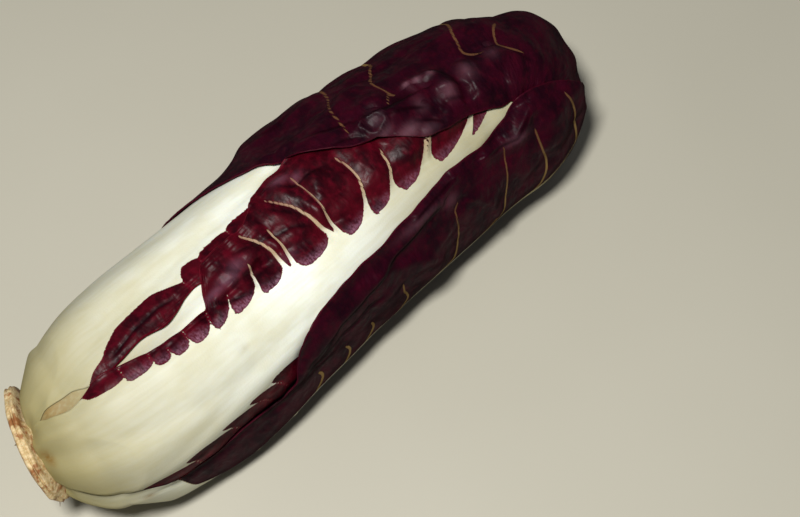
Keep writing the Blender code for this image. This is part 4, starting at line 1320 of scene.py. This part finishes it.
def root_finish():
    """The stub: a corky tan side with orange-brown patches, darker rootlets and painted shade towards the
    ground, and a cut face with a ring of darker wood.
    """
    root = Finish("root_stub", Subsurface_Weight=0.05, Subsurface_Scale=0.003)
    place = root.place()
    out, cut = root.mark("out"), root.mark("cut")
    patches = root.noise(place, 260, 4, 0.6)
    specks = root.noise(place, 900, 3)
    side = root.mix(root.between(specks, 0.3, 0.7), srgb(210, 190, 148), srgb(176, 148, 98))
    side = root.mix(root.between(patches, 0.46, 0.60, 0.0, 0.9), side, srgb(134, 78, 28))
    # Painted shade towards the ground, and the rootlets' darker colour.
    side = root.mix(root.mark("darkening"), side, srgb(74, 56, 20))
    rings = root.sum("SINE", root.sum("MULTIPLY_ADD", specks, 2.5, root.sum("MULTIPLY", out, 3.2)))
    face = root.mix(root.between(rings, -1, 1, 0.0, 0.5), srgb(218, 200, 150), srgb(190, 160, 105))
    face = root.mix(root.between(out, 12.5, 15.5, 0.0, 0.8), face, srgb(150, 100, 52))
    face = root.mix(root.between(out, 4.5, 2.0, 0.0, 0.6), face, srgb(205, 190, 140))
    root.surface(Base_Color=root.mix(cut, side, face), Roughness=0.72)
    relief = root.sum("MULTIPLY_ADD", patches, 0.8, root.sum("MULTIPLY", specks, 0.5))
    root.surface(Normal=root.bump(relief, 0.0006))
    return root.material


def floor_finish():
    """A plain pale surface."""
    floor = Finish("pale_floor", Roughness=0.45)
    place = floor.place()
    tone = floor.noise(place, 9, 2)
    floor.surface(Base_Color=floor.mix(tone, srgb(182, 179, 165), srgb(174, 171, 156)))
    return floor.material


# ---------------------------------------------------------------- floor, light and camera

FLOOR_SIZE = 6.0
AIM = (0.0, 0.0, 0.03)
CAMERA_AZIMUTH = -40.0
CAMERA_ELEVATION = 62.0
CAMERA_DISTANCE = 0.549
CAMERA_ASIDE = 0.0286
CAMERA_LOWER = 0.0018
CAMERA_LENS = 79.8


def view_axes(azimuth, elevation):
    """Towards the viewer, to the viewer's right and up."""
    a, e = math.radians(azimuth), math.radians(elevation)
    back = np.array([math.sin(a) * math.cos(e), -math.cos(a) * math.cos(e), math.sin(e)])
    right = np.array([math.cos(a), math.sin(a), 0.0])
    return back, right, np.cross(back, right)


def aim(obj, place, azimuth, elevation):
    """Puts a camera or light at a place, turned to look back from that direction."""
    obj.location = place
    obj.rotation_euler = (math.radians(90 - elevation), 0, math.radians(azimuth))
    bpy.context.scene.collection.objects.link(obj)


def make_camera():
    data = bpy.data.cameras.new("camera")
    data.lens = CAMERA_LENS
    camera = bpy.data.objects.new("camera", data)
    back, right, up = view_axes(CAMERA_AZIMUTH, CAMERA_ELEVATION)
    place = np.array(AIM) + back * CAMERA_DISTANCE + right * CAMERA_ASIDE - up * CAMERA_LOWER
    aim(camera, place, CAMERA_AZIMUTH, CAMERA_ELEVATION)
    bpy.context.scene.camera = camera


def make_light(name, azimuth, elevation, distance, size, power, colour):
    """A soft round light that looks at the head."""
    data = bpy.data.lights.new(name, "AREA")
    data.shape = "DISK"
    data.size = size
    data.energy = power
    data.color = colour
    light = bpy.data.objects.new(name, data)
    back, right, up = view_axes(azimuth, elevation)
    aim(light, np.array(AIM) + back * distance, azimuth, elevation)


def make_stage():
    """The floor, the one light and the faint even light of the room."""
    mesh = bpy.data.meshes.new("floor")
    half = FLOOR_SIZE / 2
    corners = [(-half, -half, 0), (half, -half, 0), (half, half, 0), (-half, half, 0)]
    mesh.from_pydata(corners, [], [(0, 1, 2, 3)])
    mesh.materials.append(floor_finish())
    floor = bpy.data.objects.new("floor", mesh)
    bpy.context.scene.collection.objects.link(floor)
    warm = (1.0, 0.98, 0.95)
    make_light("key", azimuth=-56, elevation=70, distance=0.75, size=0.12, power=7.5, colour=warm)
    world = bpy.data.worlds.new("studio")
    world.use_nodes = True
    background = world.node_tree.nodes["Background"]
    background.inputs["Color"].default_value = (0.95, 0.97, 1.0, 1.0)
    background.inputs["Strength"].default_value = 0.10
    bpy.context.scene.world = world
    bpy.context.scene.view_settings.view_transform = "Standard"


# ---------------------------------------------------------------- the whole scene


def red_finish():
    """The leaves with white ribs and shiny crimson lobes."""
    return leaf_finish(
        "red_leaf",
        vein_tint=srgb(166, 144, 116),
        tint_from=(2.5, 9.0),
        blade=srgb(66, 4, 16),
        blade_light=srgb(98, 8, 28),
        blade_shade=srgb(34, 2, 9),
        bloom=srgb(142, 98, 120),
        blade_roughness=0.40,
        shine=0.27,
    )


def dark_finish():
    """The wrappers: dark wine-red blade with thin tan veins."""
    return leaf_finish(
        "dark_leaf",
        vein_tint=srgb(122, 98, 58),
        tint_from=(-0.2, 0.8),
        blade=srgb(44, 5, 19),
        blade_light=srgb(62, 6, 22),
        blade_shade=srgb(24, 4, 13),
        # The wrappers have no bloom, so this colour shows only as painted highlights and pale flaps.
        bloom=srgb(130, 92, 104),
        blade_roughness=0.37,
        shine=0.12,
    )


def main():
    make_camera()
    make_stage()
    surface = SurfaceMap()
    leaves = make_leaves()
    undersides, heights = lay_leaves(leaves, surface)
    placing = Placing(surface, heights)
    red, dark = red_finish(), dark_finish()
    for leaf in leaves:
        make_leaf(leaf, surface, undersides[leaf.node], placing, dark if leaf.dark else red)
    make_stem(placing, root_finish())


main()
